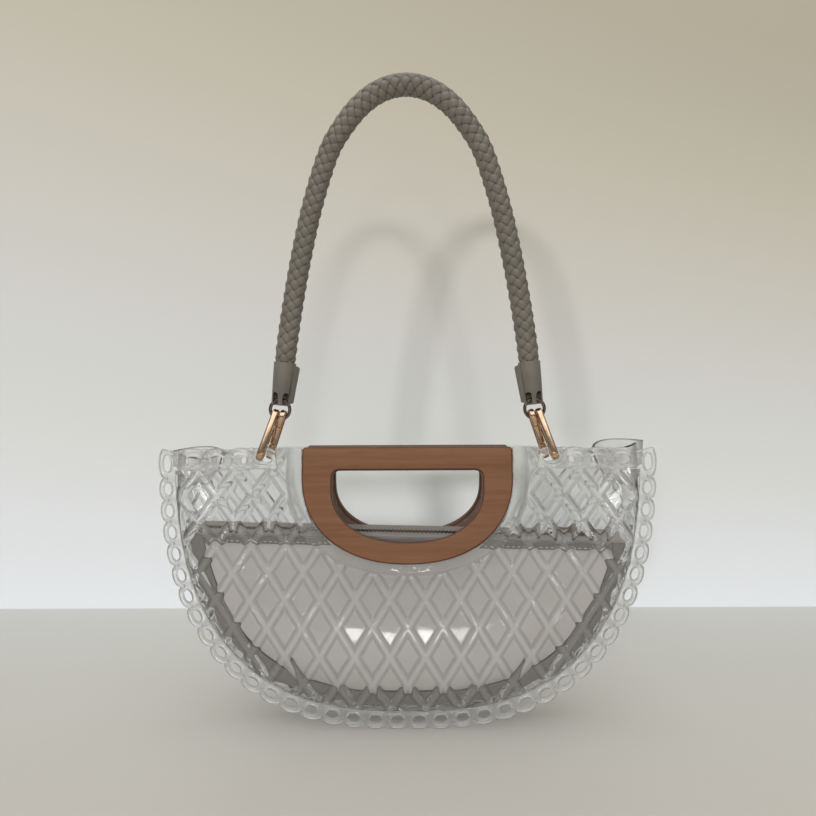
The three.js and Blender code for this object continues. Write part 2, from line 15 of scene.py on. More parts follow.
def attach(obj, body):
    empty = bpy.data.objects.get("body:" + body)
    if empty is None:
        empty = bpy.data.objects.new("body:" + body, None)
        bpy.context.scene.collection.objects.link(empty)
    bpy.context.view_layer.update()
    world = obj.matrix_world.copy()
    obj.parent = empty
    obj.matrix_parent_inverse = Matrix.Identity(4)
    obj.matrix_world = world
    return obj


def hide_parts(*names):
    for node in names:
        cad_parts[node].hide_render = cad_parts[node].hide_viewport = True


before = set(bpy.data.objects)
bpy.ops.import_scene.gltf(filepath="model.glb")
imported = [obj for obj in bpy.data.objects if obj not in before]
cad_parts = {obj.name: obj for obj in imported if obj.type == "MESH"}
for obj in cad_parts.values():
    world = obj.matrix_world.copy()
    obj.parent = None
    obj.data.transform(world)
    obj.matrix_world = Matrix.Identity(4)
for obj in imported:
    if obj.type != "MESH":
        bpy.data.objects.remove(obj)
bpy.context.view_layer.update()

MM = 0.001
# Clearance between pieces that lie on each other, and how near a cut a corner counts as lying on it
GAP = 0.3
ON_CUT = 0.005
# Round edges start at this angle in degrees, so that their first strip isn't upright
ROUND_FROM = 8

# Rim of a shell: a superellipse cut off level at the top, edged with loops round oval eyelets
RIM_HALF_WIDTH = 160
RIM_HEIGHT = 181
RIM_FULLNESS = 2.6
RIM_DEPTH = 11
RIM_PLANE = 20
LOOP_THICKNESS = 4
# Where two loops meet they are thinner: share of their thickness there, and how far that reaches
LOOP_JOINT = 0.7
JOINT_REACH = 4.5
# How far in their edges are round, and the half thickness left at the edge
RIM_ROUND = 1.5
LOOP_EDGE = 0.2
# How far the lowest loops are flattened by standing
FOOT_FLAT = 0.6
LOOP_COUNT = 38
CORNER_LOOP = 19
LOOP_NOTCH = 2.8
LOOP_EYE = (7.8, 4.6)
CORNER_EYE = (10.8, 4.6)
EYE_FULLNESS = 2.2

# The row of loops along the top edge
TOP_LOOP_COUNT = 4
TOP_LOOP_FIRST = 95
TOP_LOOP_PITCH = 14.5
TOP_LOOP_BASE = 166.8
TOP_EYE = (11, 5.8)
TOP_EYE_FREE = (8.6, 5.8)
TOP_EYE_MIDDLE = 173
TOP_ROW_END = 86

# The domed panel inside the rim: it leans behind the handle and bellies between the handle and its margin
PANEL_THICKNESS = 2
PANEL_LAP = 2
PANEL_TOP = 180.5
MOUTH_HALF_GAP = 5
LEAN = 0.19
APRON_REACH = 0.53
MARGIN_REACH = 0.965
FLARE_POWER = 1.2
BELLY = 5
# Largest value of the belly's formula, s * s * (1 - s)
SWELL_PEAK = 4 / 27
# The margin beside the rim, where the shell was welded, is rippled: where it starts, how deep, how long,
# and the shortest edge that is divided for it
WELD_FROM = (0.93, 0.965)
WELD_RIPPLE = 0.9
WELD_LENGTH = 4.5
WELD_EDGE = 1.5

# The outer ends of the back shell's top edge hang a little: how far, across from the middle and up
BACK_SAG = 2.6
SAG_ACROSS = (101, 114)
SAG_UP = (140, 172)

# Diamond ribs: nodes a pitch apart in rows that close up a little towards the top
RIB_PITCH = 22.4
RIB_ROW_ZERO = 66.8
RIB_ROW_RISE = 17.6
RIB_ROW_CLOSING = 0.18
# Rows across half a rib: distance from its middle, height
RIB_ROWS = ((0, 1.6), (0.8, 1.56), (1.7, 1.28), (3.3, 0.15), (3.8, 0), (4.3, 0))
RIB_TOP = 0.8
RIB_SIDE = (1.7, 3.3)
RIB_FOOT = 3.8
# Ribs fade out beside the rim, by reach
RIB_FADE = (1, 0.975)
# First cell of the diamonds and number of cells, along each family of ribs
RIB_CELLS = (-9, 20)
# How far the panes between the ribs may tilt, and the seed of their tilts
PANE_TILT = math.tan(math.radians(2.2))
PANE_SEED = 48.5
# From a rib to the next one beside it
RIB_SPACING = RIB_PITCH * RIB_ROW_RISE / math.hypot(RIB_PITCH / 2, RIB_ROW_RISE)

# Share of light that the clear plastic passes, and its milky haze, in each place. Lower shares on steep faces
# and edges are painted shade, a grey tint in place of the dark refractions there
CLEAR_PANE, HAZE_PANE = 0.96, 0.02
CLEAR_TOP, HAZE_TOP = 0.92, 0.07
# Rib sides and the apron's steep steps are greyed: painted shade
SIDE_PAINTED_SHADE = 0.73
LOOP_EDGE_PAINTED_SHADE, HAZE_LOOP = 0.68, 0.12
# Share of a loop's half thickness over which the painted shade on its edge fades to clear
EDGE_CLEARS = (0.8, 1)
# The gusset is greyed along its seams with the rims and darkest at its hem: painted shade
CLEAR_GUSSET, HEM_PAINTED_SHADE, SEAM_PAINTED_SHADE = 0.96, 0.2, 0.4

# Wooden handles, measured along their slope from the top edge: half width, top, shoulder, bottom, corner
HANDLE_TOP = 180
HANDLE_THICKNESS = 6.5
HANDLE_EDGE = 1.1
HANDLE_OUTER = (68.5, 0, -19, -75.5, 2.5)
HANDLE_INNER = (49, -15, -27, -61.5, 5)
HANDLE_FULLNESS = 2.2
# Length along the slope for each unit of height
HANDLE_SLOPE = math.hypot(1, LEAN)
HAND_CUT_MARGIN = 1.5
# How far the painted shade darkens the round edges
WOOD_EDGE_PAINTED_SHADE = 0.85

# Raised border round each handle, from its outer foot to its inner one: clear of the wood at the sides,
# clear below it, and the height there
APRON_STEPS = ((11.8, 8.5, 0), (9.6, 6.6, 1.1), (7.4, 4.8, 1.7), (1.1, 1.1, 1.7), (0.6, 0.6, 0))

# Strap: half of its route in the middle plane above the leather sleeve, [x, z]
STRAP_RADIUS = 7.25
STRAP_HALF_ROUTE = (
    (79.7, 250),
    (75.4, 278),
    (69.5, 310),
    (62.2, 342),
    (52.3, 374),
    (44, 390),
    (31.2, 406.5),
    (16.5, 417.2),
)
STRAP_APEX = 421
# The braid swells towards the top of the arch, by share of its length, and is squeezed slim in the sleeves
STRAP_TOP_SWELL = 0.1
SWELL_ALONG = (0.3, 0.5)
STRAP_END_SLIM = 0.88
SLIM_ALONG = (11, 17)
STRAP_CORE = 0.6 * STRAP_RADIUS
BRAID_TURN = 27.6
BRAID_PAIRS = 4
THONG_HALF_WIDTH = 2.7
THONG_HALF_THICKNESS = 1.25
THONG_FLATNESS = 0.85
THONG_SWING = 0.95
THONG_STEPS_PER_TURN = 40

# Leather sleeves and metal rings, up the leaning strap end from the ring's centre
RING_CENTRE = (84.8, 205.7)
STRAP_END_LEAN = math.radians(6.6)
RING_RADIUS = 6.5
RING_WIRE = 1.15
SLEEVE_TOP = 31.5
SLEEVE_FLOOR = 19
SLEEVE_RADIUS = 7.4
SLEEVE_WALL = 0.7
SLEEVE_EDGE = 0.35
SLEEVE_TONGUE = 2.7
TONGUE_HALF = 1.7
SLEEVE_HEM = 6
SLOT_TOP = 11.3
SLOT_WIDTH = 4.9
# The block that cuts a slot: how far out and down it goes, its depth, and its middle in front of the strap
CUTTER_OUT, CUTTER_DOWN, CUTTER_DEPTH, CUTTER_MIDDLE = 12, -4, 10, -8
FIN_ROOT = 6.1
FIN_REACH = 9.4
FIN_EDGE = 0.5
FIN_THICKNESS = 2
FIN_SLOPE = 3
# The sleeve is pinched at its foot, across and through, and cut at levels so that the pinch bends smoothly
SLEEVE_FOOT = (0.84, 0.45)
PINCH_TOP = 15
PINCH_LEVELS = range(4, 20, 2)

# Snap hooks: a long oval of bar, open on the side towards the inside of the bag, where a spring gate shuts it
HOOK_BAR = 2.6
HOOK_THICKNESS = 3.4
HOOK_CLEAR_HALF = 2.7
HOOK_BELOW = 1.1
HOOK_OUTSIDE = 0.8
HOOK_ON_RING = 1.2
HOOK_RING_SPACING = 4.8
HOOK_EYE_SPACING = 3.4
HOOK_WIDTH = 4.4
HOOK_ROUND = 1.25
GATE_BOTTOM = 9.5
GATE_TOP = 23.5
GATE_BAR = 2.2
GATE_WIDTH = 4
GATE_ROUND = 0.9

# Cloth pouch
POUCH_INSET = RIM_DEPTH + 0.5
POUCH_TOP = 118
POUCH_EDGE = 9.5
POUCH_HALF_DEPTH = 11
POUCH_BELLY = 9
CLOTH = 1.4
# The slack pouch stands this far above its level, 1 mm more for each run to the left, from a height up
POUCH_LIFT = 3
LIFT_RUN = 40
LIFT_FROM = 50
# Ripples in its cloth: height, and length across and up
RIPPLE = 1.4
RIPPLE_ACROSS = 45
RIPPLE_UP = 30
# The edge strip's round, and how far it lies outside the cloth at its hem and at its round
STRIP_ROUND = 2.6
STRIP_OVER_HEM = 1
STRIP_OVER = 0.6
ZIP_RISE = 5.2
TEETH_RISE = 3
ZIP_HALF_LENGTH = 142
TEETH_INSET = 6
TOOTH_PITCH = 2.6
TOOTH_ASIDE = 1
TOOTH_SIZE = (1.1, 2.6, 1.6)
TOOTH_EDGE = 0.25
ZIP_FACING = 5
FACING_THICKNESS = 0.7
FACING_GAP = 0.05
STITCH = 2.6
STITCH_PITCH = 3.6
STITCH_RADIUS = 0.45
STITCH_UP = 1.4
# Slider and its pull tab, which lie along the zip
PULL_AT = 116
SLIDER_HALF_LENGTH = 5
SLIDER_HALF_WIDTH = 2.8
SLIDER_NOSE = 0.6
SLIDER_THICKNESS = 3
SLIDER_ABOVE_TEETH = 2
TAB_END = 14
TAB_ROUND = 2.6
TAB_ROOT = (3, 1.6)
TAB_HOLE = (14.2, 1.1)
TAB_THICKNESS = 1.2
TAB_RISE = 2.4


def linear(code):
    """The linear RGBA colour of an sRGB hex code."""
    parts = [int(code[i:i + 2], 16) / 255 for i in (1, 3, 5)]
    return [c / 12.92 if c <= 0.04045 else ((c + 0.055) / 1.055) ** 2.4 for c in parts] + [1]


def set_inputs(tree, node, inputs):
    """Sets or links a node's inputs."""
    for name, value in inputs.items():
        if isinstance(value, bpy.types.NodeSocket):
            tree.links.new(value, node.inputs[name])
        else:
            node.inputs[name].default_value = value


def add(tree, kind, inputs=None, **settings):
    """Adds a node with its settings and inputs."""
    made = tree.nodes.new(kind)
    for name, value in settings.items():
        setattr(made, name, value)
    set_inputs(tree, made, inputs or {})
    return made


def new_material(name):
    """A material with its node tree, Principled shader and output."""
    material = bpy.data.materials.new(name)
    material.use_nodes = True
    tree = material.node_tree
    return material, tree, tree.nodes["Principled BSDF"], tree.nodes["Material Output"]


def clear_pvc():
    """Moulded clear PVC: a bright hard gloss. Steep faces and edges carry painted shade, a grey tint read
    from its clarity_and_painted_shade attribute, and thick places are a little milky, as its haze attribute
    says."""
    material, tree, shader, output = new_material("clear_moulded_pvc")
    clarity_and_painted_shade = add(tree, "ShaderNodeAttribute", attribute_name="clarity_and_painted_shade")
    set_inputs(tree, shader, {
        "Base Color": clarity_and_painted_shade.outputs["Color"], "Transmission Weight": 1, "Roughness": 0.05, "IOR": 1.5})
    haze = add(tree, "ShaderNodeAttribute", attribute_name="haze")
    milk = add(tree, "ShaderNodeBsdfDiffuse", {"Color": linear("#dededc")})
    body = add(tree, "ShaderNodeMixShader", {
        0: haze.outputs["Fac"], 1: shader.outputs["BSDF"], 2: milk.outputs["BSDF"]})
    # Lamps and the light that walls send back pass straight through
    rays = add(tree, "ShaderNodeLightPath")
    passing = add(tree, "ShaderNodeBsdfTransparent", {"Color": linear("#f8f8f7")})
    surface = body
    for kind in ("Is Diffuse Ray", "Is Shadow Ray"):
        surface = add(tree, "ShaderNodeMixShader", {
            0: rays.outputs[kind], 1: surface.outputs[0], 2: passing.outputs["BSDF"]})
    set_inputs(tree, output, {"Surface": surface.outputs[0]})
    return material


def varnished_wood():
    """Satin-varnished brown hardwood: long level grain with fine dark pores under a soft sheen, and painted
    shade on its round edges.
    """
    material, tree, shader, _ = new_material("varnished_brown_wood")
    place = add(tree, "ShaderNodeTexCoord")
    # Growth bands about 5 mm deep that run level for about 120 mm
    stretch = add(tree, "ShaderNodeMapping", {"Vector": place.outputs["Object"], "Scale": (8, 60, 200)})
    bands = add(tree, "ShaderNodeTexNoise", {
        "Vector": stretch.outputs["Vector"], "Scale": 1, "Detail": 4, "Roughness": 0.55, "Distortion": 0.4})
    # Pores about 0.4 mm deep and 12 mm long
    fine = add(tree, "ShaderNodeMapping", {"Vector": place.outputs["Object"], "Scale": (80, 600, 2400)})
    pores = add(tree, "ShaderNodeTexNoise", {"Vector": fine.outputs["Vector"], "Scale": 1, "Detail": 2})
    tone = add(tree, "ShaderNodeValToRGB", {"Fac": bands.outputs["Fac"]})
    tone.color_ramp.elements[0].position = 0.3
    tone.color_ramp.elements[0].color = linear("#714e37")
    tone.color_ramp.elements[1].position = 0.72
    tone.color_ramp.elements[1].color = linear("#805b42")
    dark = add(tree, "ShaderNodeMapRange", {
        "Value": pores.outputs["Fac"], "From Min": 0.35, "From Max": 0.6, "To Min": 0.86, "To Max": 1})
    colour = add(tree, "ShaderNodeMix", {
        "Factor": 1, 6: tone.outputs["Color"], 7: dark.outputs["Result"]},
        data_type="RGBA", blend_type="MULTIPLY")
    bump = add(tree, "ShaderNodeBump", {"Height": pores.outputs["Fac"], "Strength": 0.25, "Distance": 0.0002})
    # Painted shade: the round edges are darker
    edge = add(tree, "ShaderNodeAttribute", attribute_name="edge")
    edge_shaded = add(tree, "ShaderNodeMix", {
        "Factor": edge.outputs["Fac"], 6: colour.outputs[2], 7: linear("#4e3221")}, data_type="RGBA")
    set_inputs(tree, shader, {
        "Base Color": edge_shaded.outputs[2], "Normal": bump.outputs["Normal"], "Roughness": 0.5,
        "Specular IOR Level": 0.3})
    return material


def grained_leather(name, light, dark, grain_mm, roughness):
    """Grey leather: a close pebble grain that breaks up a dull sheen, a little darker in random patches."""
    material, tree, shader, _ = new_material(name)
    place = add(tree, "ShaderNodeTexCoord")
    grain = add(tree, "ShaderNodeTexVoronoi", {
        "Vector": place.outputs["Object"], "Scale": 1 / (grain_mm * MM)}, feature="SMOOTH_F1")
    patches = add(tree, "ShaderNodeTexNoise", {
        "Vector": place.outputs["Object"], "Scale": 1 / (12 * MM), "Detail": 3})
    tone = add(tree, "ShaderNodeMix", {
        "Factor": patches.outputs["Fac"], 6: linear(dark), 7: linear(light)}, data_type="RGBA")
    bump = add(tree, "ShaderNodeBump", {
        "Height": grain.outputs["Distance"], "Strength": 0.35, "Distance": 0.0002})
    set_inputs(tree, shader, {
        "Base Color": tone.outputs[2], "Normal": bump.outputs["Normal"], "Roughness": roughness})
    return material


def plated_metal(name, light, dark, roughness):
    """Plated zinc casting: a bright warm gloss, clouded a little where it has been handled."""
    material, tree, shader, _ = new_material(name)
    place = add(tree, "ShaderNodeTexCoord")
    # Clouding in patches of about 3 mm
    cloud = add(tree, "ShaderNodeTexNoise", {
        "Vector": place.outputs["Object"], "Scale": 1 / (3 * MM), "Detail": 3})
    tone = add(tree, "ShaderNodeMix", {
        "Factor": cloud.outputs["Fac"], 6: linear(dark), 7: linear(light)}, data_type="RGBA")
    gloss = add(tree, "ShaderNodeMapRange", {
        "Value": cloud.outputs["Fac"], "To Min": roughness * 0.7, "To Max": roughness * 1.4})
    set_inputs(tree, shader, {
        "Base Color": tone.outputs[2], "Roughness": gloss.outputs["Result"], "Metallic": 1})
    return material


def woven_cloth(name, light, dark, thread_mm, turn):
    """Plain woven cloth: threads crossing over and under, matt, with a soft nap at grazing angles."""
    material, tree, shader, _ = new_material(name)
    place = add(tree, "ShaderNodeTexCoord")
    # Thread spacing is drawn about twice the real one, so that it shows
    per_metre = 1 / (2 * thread_mm * MM)
    grid = add(tree, "ShaderNodeMapping", {
        "Vector": place.outputs["Object"], "Rotation": (0, turn, 0), "Scale": (per_metre,) * 3})
    warp = add(tree, "ShaderNodeTexWave", {"Vector": grid.outputs["Vector"], "Scale": 1}, bands_direction="X")
    weft = add(tree, "ShaderNodeTexWave", {"Vector": grid.outputs["Vector"], "Scale": 1}, bands_direction="Z")
    weave = add(tree, "ShaderNodeMath", {
        0: warp.outputs["Fac"], 1: weft.outputs["Fac"]}, operation="MULTIPLY")
    slubs = add(tree, "ShaderNodeTexNoise", {
        "Vector": place.outputs["Object"], "Scale": 1 / (9 * MM), "Detail": 4})
    shade = add(tree, "ShaderNodeMath", {0: weave.outputs[0], 1: slubs.outputs["Fac"]}, operation="ADD")
    half = add(tree, "ShaderNodeMath", {0: shade.outputs[0], 1: 0.6}, operation="MULTIPLY")
    tone = add(tree, "ShaderNodeMix", {
        "Factor": half.outputs[0], 6: linear(dark), 7: linear(light)}, data_type="RGBA")
    bump = add(tree, "ShaderNodeBump", {"Height": weave.outputs[0], "Strength": 0.4, "Distance": 0.0003})
    set_inputs(tree, shader, {
        "Base Color": tone.outputs[2], "Normal": bump.outputs["Normal"], "Roughness": 0.85,
        "Sheen Weight": 0.15})
    return material


PVC = clear_pvc()
WOOD = varnished_wood()
BRAID = grained_leather("braided_thong_leather", "#797469", "#5f5a51", 0.9, 0.5)
LEATHER = grained_leather("sleeve_leather", "#757067", "#615c54", 0.7, 0.48)
BRONZE = plated_metal("dark_bronze_plating", "#8d8378", "#5d554c", 0.22)
GOLD = plated_metal("light_gold_plating", "#f2dcc0", "#b5875e", 0.2)
BRASS = plated_metal("antique_brass", "#93805f", "#70604a", 0.35)
CLOTH_GREY = woven_cloth("pouch_cotton_cloth", "#bebab7", "#adaaa7", 0.4, 0)
EDGING = woven_cloth("pouch_edging_tape", "#74706b", "#5f5b57", 0.4, math.radians(45))
TAPE = woven_cloth("pouch_zip_tape_weave", "#8f8a84", "#7c7771", 0.3, math.radians(45))
THREAD = grained_leather("pouch_sewing_thread", "#bcb7b0", "#a8a39c", 0.3, 0.7)


def signed_power(value, power):
    """A power of a value that keeps its sign."""
    return math.copysign(abs(value) ** power, value)


def rim_point(t, inset):
    """A point of the rim at an inset, from the left top corner (t = 0) round to the right one (t = 1)."""
    power = 2 / RIM_FULLNESS
    x = -(RIM_HALF_WIDTH - inset) * signed_power(math.cos(math.pi * t), power)
    return Vector((x, 0, RIM_HEIGHT - (RIM_HEIGHT - inset) * abs(math.sin(math.pi * t)) ** power))


def rim_crossing(z, inset):
    """Where the left side of the rim at an inset passes a height."""
    return math.asin(((RIM_HEIGHT - z) / (RIM_HEIGHT - inset)) ** (RIM_FULLNESS / 2)) / math.pi


def rim_stations(z, inset, steps):
    """Points of the rim at an inset, between the two places where it passes a height."""
    start = rim_crossing(z, inset)
    return [rim_point(start + (1 - 2 * start) * i / steps, inset) for i in range(steps + 1)]


def evenly(points):
    """A function giving the place and direction at a distance along points, and the whole length."""
    lengths = [0, *accumulate((b - a).length for a, b in pairwise(points))]

    def at(distance):
        i = min(max(bisect.bisect(lengths, distance) - 1, 0), len(points) - 2)
        share = (distance - lengths[i]) / (lengths[i + 1] - lengths[i])
        return points[i].lerp(points[i + 1], share), (points[i + 1] - points[i]).normalized()

    return at, lengths[-1]


def reach(x, z):
    """How far a point of the front view lies from the middle of the top edge (0) towards the seam (1)."""
    across = abs(x) / (RIM_HALF_WIDTH - RIM_DEPTH)
    down = max(RIM_HEIGHT - z, 0) / (RIM_HEIGHT - RIM_DEPTH)
    return (across ** RIM_FULLNESS + down ** RIM_FULLNESS) ** (1 / RIM_FULLNESS)


def half_depth(x, z):
    """Half depth of a shell's middle surface: it leans behind the handle, bellies below it, and is flat at
    the rim."""
    spread = min(max((min(reach(x, z), 1) - APRON_REACH) / (MARGIN_REACH - APRON_REACH), 0), 1)
    held = 1 - spread ** FLARE_POWER
    leaning = MOUTH_HALF_GAP + LEAN * (HANDLE_TOP - z)
    swell = spread ** 2 * (1 - spread) / SWELL_PEAK
    down = max(RIM_HEIGHT - z, 0) / (RIM_HEIGHT - RIM_DEPTH)
    return RIM_PLANE + (leaning - RIM_PLANE) * held + BELLY * swell * down


def smooth_step(low, high, value):
    share = min(max((value - low) / (high - low), 0), 1)
    return share * share * (3 - 2 * share)


def move(bm, matrix):
    """Moves a whole bmesh."""
    bmesh.ops.transform(bm, matrix=matrix, verts=bm.verts)


def mesh_object(name, bm):
    """An object in the scene made from a bmesh."""
    mesh = bpy.data.meshes.new(name)
    bm.to_mesh(mesh)
    bm.free()
    made = bpy.data.objects.new(name, mesh)
    bpy.context.scene.collection.objects.link(made)
    return made


def finish(bm, name, material, slot, *nodes, body="bag", crease=40):
    """Makes a bmesh a shaded piece in metres that rides on a body and stands for CAD nodes."""
    bmesh.ops.scale(bm, vec=(MM, MM, MM), verts=bm.verts)
    for face in bm.faces:
        face.smooth = True
    for edge in bm.edges:
        edge.smooth = not edge.is_manifold or edge.calc_face_angle() < math.radians(crease)
    piece = mesh_object(name, bm)
    piece.data.materials.append(material)
    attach(piece, body)
    if nodes:
        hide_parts(*nodes)


def joined(bm, other, operation="UNION"):
    """A bmesh joined with another one, or cut by it, as one closed skin."""
    objects = [mesh_object("boolean_part", part) for part in (bm, other)]
    modifier = objects[0].modifiers.new("join", "BOOLEAN")
    modifier.operation = operation
    modifier.solver = "MANIFOLD"
    modifier.object = objects[1]
    result = bmesh.new()
    result.from_object(objects[0], bpy.context.evaluated_depsgraph_get())
    for part in objects:
        mesh = part.data
        bpy.data.objects.remove(part)
        bpy.data.meshes.remove(mesh)
    return result


def thicken(bm, level):
    """Closes a sheet in the front view into a solid, its half thickness in a vertex layer."""
    made = bmesh.ops.extrude_face_region(bm, geom=bm.faces[:], use_keep_orig=True)["geom"]
    front = {part for part in made if isinstance(part, bmesh.types.BMVert)}
    for vert in bm.verts:
        vert.co.y += -vert[level] if vert in front else vert[level]
    bmesh.ops.recalc_face_normals(bm, faces=bm.faces)


def rounded_plate(outlines, thickness, radius, steps=4, rise=None):
    """A plate in the front view with round edges: the first outline less the others, [x, z] points."""
    rise = rise or radius
    bm = bmesh.new()
    edges = []
    for outline in outlines:
        ring = [bm.verts.new((x, 0, z)) for x, z in outline]
        edges += [bm.edges.new(pair) for pair in pairwise([*ring, ring[0]])]
    bmesh.ops.triangle_fill(bm, edges=edges, use_beauty=True, normal=(0, -1, 0))
    level = bm.verts.layers.float.new("half_thickness")
    region = bm.faces[:]
    turns = [math.radians(ROUND_FROM + (90 - ROUND_FROM) * i / steps) for i in range(steps + 1)]
    for turn, after in pairwise(turns):
        inside = set(region)
        border = {v for f in region for e in f.edges
                  if sum(face in inside for face in e.link_faces) == 1 for v in e.verts}
        for vert in border:
            vert[level] = thickness / 2 - rise * (1 - math.sin(turn))
        bmesh.ops.inset_region(
            bm, faces=region, thickness=radius * (math.cos(turn) - math.cos(after)),
            use_boundary=True, use_even_offset=True)
    for vert in {v for f in region for v in f.verts}:
        vert[level] = thickness / 2
    thicken(bm, level)
    return bm


def sweep(bm, frames, profile, capped=True):
    """Extrudes a closed profile, [x, y] points, from frame to frame."""
    ring = [bm.verts.new(frames[0] @ Vector((x, y, 0))) for x, y in profile]
    first = edges = [bm.edges.new(pair) for pair in pairwise([*ring, ring[0]])]
    for here, after in pairwise(frames):
        made = bmesh.ops.extrude_edge_only(bm, edges=edges)["geom"]
        edges = [part for part in made if isinstance(part, bmesh.types.BMEdge)]
        verts = [part for part in made if isinstance(part, bmesh.types.BMVert)]
        bmesh.ops.transform(bm, matrix=after @ here.inverted(), verts=verts)
    if capped:
        for end in (first, edges):
            bmesh.ops.edgeloop_fill(bm, edges=end)
        bmesh.ops.recalc_face_normals(bm, faces=bm.faces)


def frame_at(place, along, side):
    """A frame with Z along a direction and Y near another one."""
    z = along.normalized()
    x = side.cross(z).normalized()
    return Matrix.Translation(place) @ Matrix((x, z.cross(x), z)).transposed().to_4x4()


def frames_along(stations):
    """Frames at points of a line in the front view, their Z along it and their Y to the back."""
    places = [stations[0], *stations, stations[-1]]
    return [frame_at(here, after - before, Vector((0, 1, 0)))
            for before, here, after in zip(places, places[1:], places[2:])]


def oval(centre, size, angle, steps=20):
    """Points of an eyelet's superellipse, [x, z], turned by an angle."""
    points = []
    for i in range(steps):
        turn = 2 * math.pi * i / steps
        along = signed_power(math.cos(turn), 2 / EYE_FULLNESS) * size[0] / 2
        across = signed_power(math.sin(turn), 2 / EYE_FULLNESS) * size[1] / 2
        points.append((centre.x + along * math.cos(angle) - across * math.sin(angle),
                       centre.z + along * math.sin(angle) + across * math.cos(angle)))
    return points


def arc(centre, radius, start, stop, steps=10):
    """Points of an arc in the front view, [x, z]."""
    turns = [math.radians(start + (stop - start) * i / steps) for i in range(steps + 1)]
    return [(centre[0] + radius * math.cos(t), centre[1] + radius * math.sin(t)) for t in turns]


def ring_of_points(radius, steps):
    """Points round a circle."""
    return [(radius * math.cos(2 * math.pi * i / steps), radius * math.sin(2 * math.pi * i / steps))
            for i in range(steps)]


def cut_across(bm, place, normal, clear_outer=False):
    """Cuts a whole bmesh along a plane, and can drop what lies on the side that the normal points to."""
    bmesh.ops.bisect_plane(
        bm, geom=[*bm.verts, *bm.edges, *bm.faces], dist=ON_CUT, plane_co=place, plane_no=normal,
        clear_outer=clear_outer)


def scallop(fraction):
    """How far a loop's edge stands out at a fraction of its length."""
    return LOOP_NOTCH * (math.sqrt(math.sin(math.pi * fraction)) - 1)


LOOP_FRACTIONS = [(1 - math.cos(math.pi * i / 10)) / 2 for i in range(10)]


def rim_plate():
    """The band of eyelet loops round a shell, with full round edges, lying at y = 0."""
    at, total = evenly([rim_point(i / 2000, RIM_DEPTH / 2) for i in range(2001)])
    pitch = (total - 2 * CORNER_LOOP) / (LOOP_COUNT - 2)
    edge, eyes, joints = [], [], []
    start = 0
    for k in range(LOOP_COUNT):
        corner = k in (0, LOOP_COUNT - 1)
        length = CORNER_LOOP if corner else pitch
        joints.append(at(start))
        for fraction in LOOP_FRACTIONS:
            place, along = at(start + fraction * length)
            out = RIM_DEPTH / 2 + scallop(fraction)
            z = (place.z - along.x * out - FOOT_FLAT) * RIM_HEIGHT / (RIM_HEIGHT - FOOT_FLAT)
            edge.append((place.x + along.z * out, max(z, 0)))
        place, along = at(start + length / 2)
        eyes.append(oval(place, CORNER_EYE if corner else LOOP_EYE, math.atan2(along.z, along.x)))
        start += length
    edge.append((-edge[0][0], edge[0][1]))
    top = []
    for k in reversed(range(TOP_LOOP_COUNT)):
        middle = TOP_LOOP_FIRST + TOP_LOOP_PITCH * k
        top += [(middle + TOP_LOOP_PITCH * (0.5 - f), RIM_HEIGHT + scallop(f)) for f in LOOP_FRACTIONS]
        eye = TOP_EYE_FREE if k else TOP_EYE
        eyes += [oval(Vector((side * middle, 0, TOP_EYE_MIDDLE)), eye, 0) for side in (-1, 1)]
    top += [(TOP_ROW_END, RIM_HEIGHT + scallop(0)), (TOP_ROW_END, TOP_LOOP_BASE)]
    top += [(TOP_LOOP_FIRST + TOP_LOOP_PITCH * (k + 0.5), TOP_LOOP_BASE) for k in range(TOP_LOOP_COUNT - 1)]
    inner = [(p.x, p.z) for p in rim_stations(TOP_LOOP_BASE, RIM_DEPTH, 120)]
    left_top = [(-x, z) for x, z in reversed(top)]
    outline = [*edge, *top, *reversed(inner), *left_top]
    plate = rounded_plate([outline, *eyes], LOOP_THICKNESS, RIM_ROUND, rise=LOOP_THICKNESS / 2 - LOOP_EDGE)
    for k in range(1, TOP_LOOP_COUNT + 1):
        across = TOP_LOOP_FIRST + TOP_LOOP_PITCH * (k - 0.5)
        joints += [(Vector((side * across, 0, TOP_EYE_MIDDLE)), Vector((1, 0, 0))) for side in (-1, 1)]
    # Loops are thinner where they meet
    nearest = kdtree.KDTree(len(joints))
    for k, (place, _) in enumerate(joints):
        nearest.insert(place, k)
    nearest.balance()
    for vert in plate.verts:
        flat = Vector((vert.co.x, 0, vert.co.z))
        place, k, _ = nearest.find(flat)
        away = abs((flat - place).dot(joints[k][1]))
        vert.co.y *= LOOP_JOINT + (1 - LOOP_JOINT) * smooth_step(0, JOINT_REACH, away)
        vert.co.y -= half_depth(vert.co.x, vert.co.z)
    return plate


def d_height(x, z, side, below, outline):
    """A level of the front view: 1 on a handle's D, widened at its sides and below, and less inside it."""
    half_width, _, shoulder, bottom, _ = outline
    across = abs(x) / (half_width + side)
    down = max(shoulder - (z - HANDLE_TOP) * HANDLE_SLOPE, 0) / (shoulder - bottom + below)
    return (across ** HANDLE_FULLNESS + down ** HANDLE_FULLNESS) ** (1 / HANDLE_FULLNESS)


def d_curve(half_width, depth, steps):
    """The round lower part of a handle's D from left to right: [x, how far below its shoulder]."""
    points = []
    for i in range(steps + 1):
        turn = math.pi * i / steps
        x = -half_width * signed_power(math.cos(turn), 2 / HANDLE_FULLNESS)
        points.append((x, depth * math.sin(turn) ** (2 / HANDLE_FULLNESS)))
    return points


def d_line(side, below, outline, top, steps=44):
    """The D of a handle in the front view, widened at its sides and below, open at a height on top."""
    half_width, _, shoulder, bottom, _ = outline
    curve = d_curve(half_width + side, shoulder - bottom + below, steps)
    points = [Vector((x, 0, HANDLE_TOP + (shoulder - drop) / HANDLE_SLOPE)) for x, drop in curve]
    ends = [Vector((s * (half_width + side), 0, top)) for s in (-1, 1)]
    return [ends[0], *points, ends[1]]


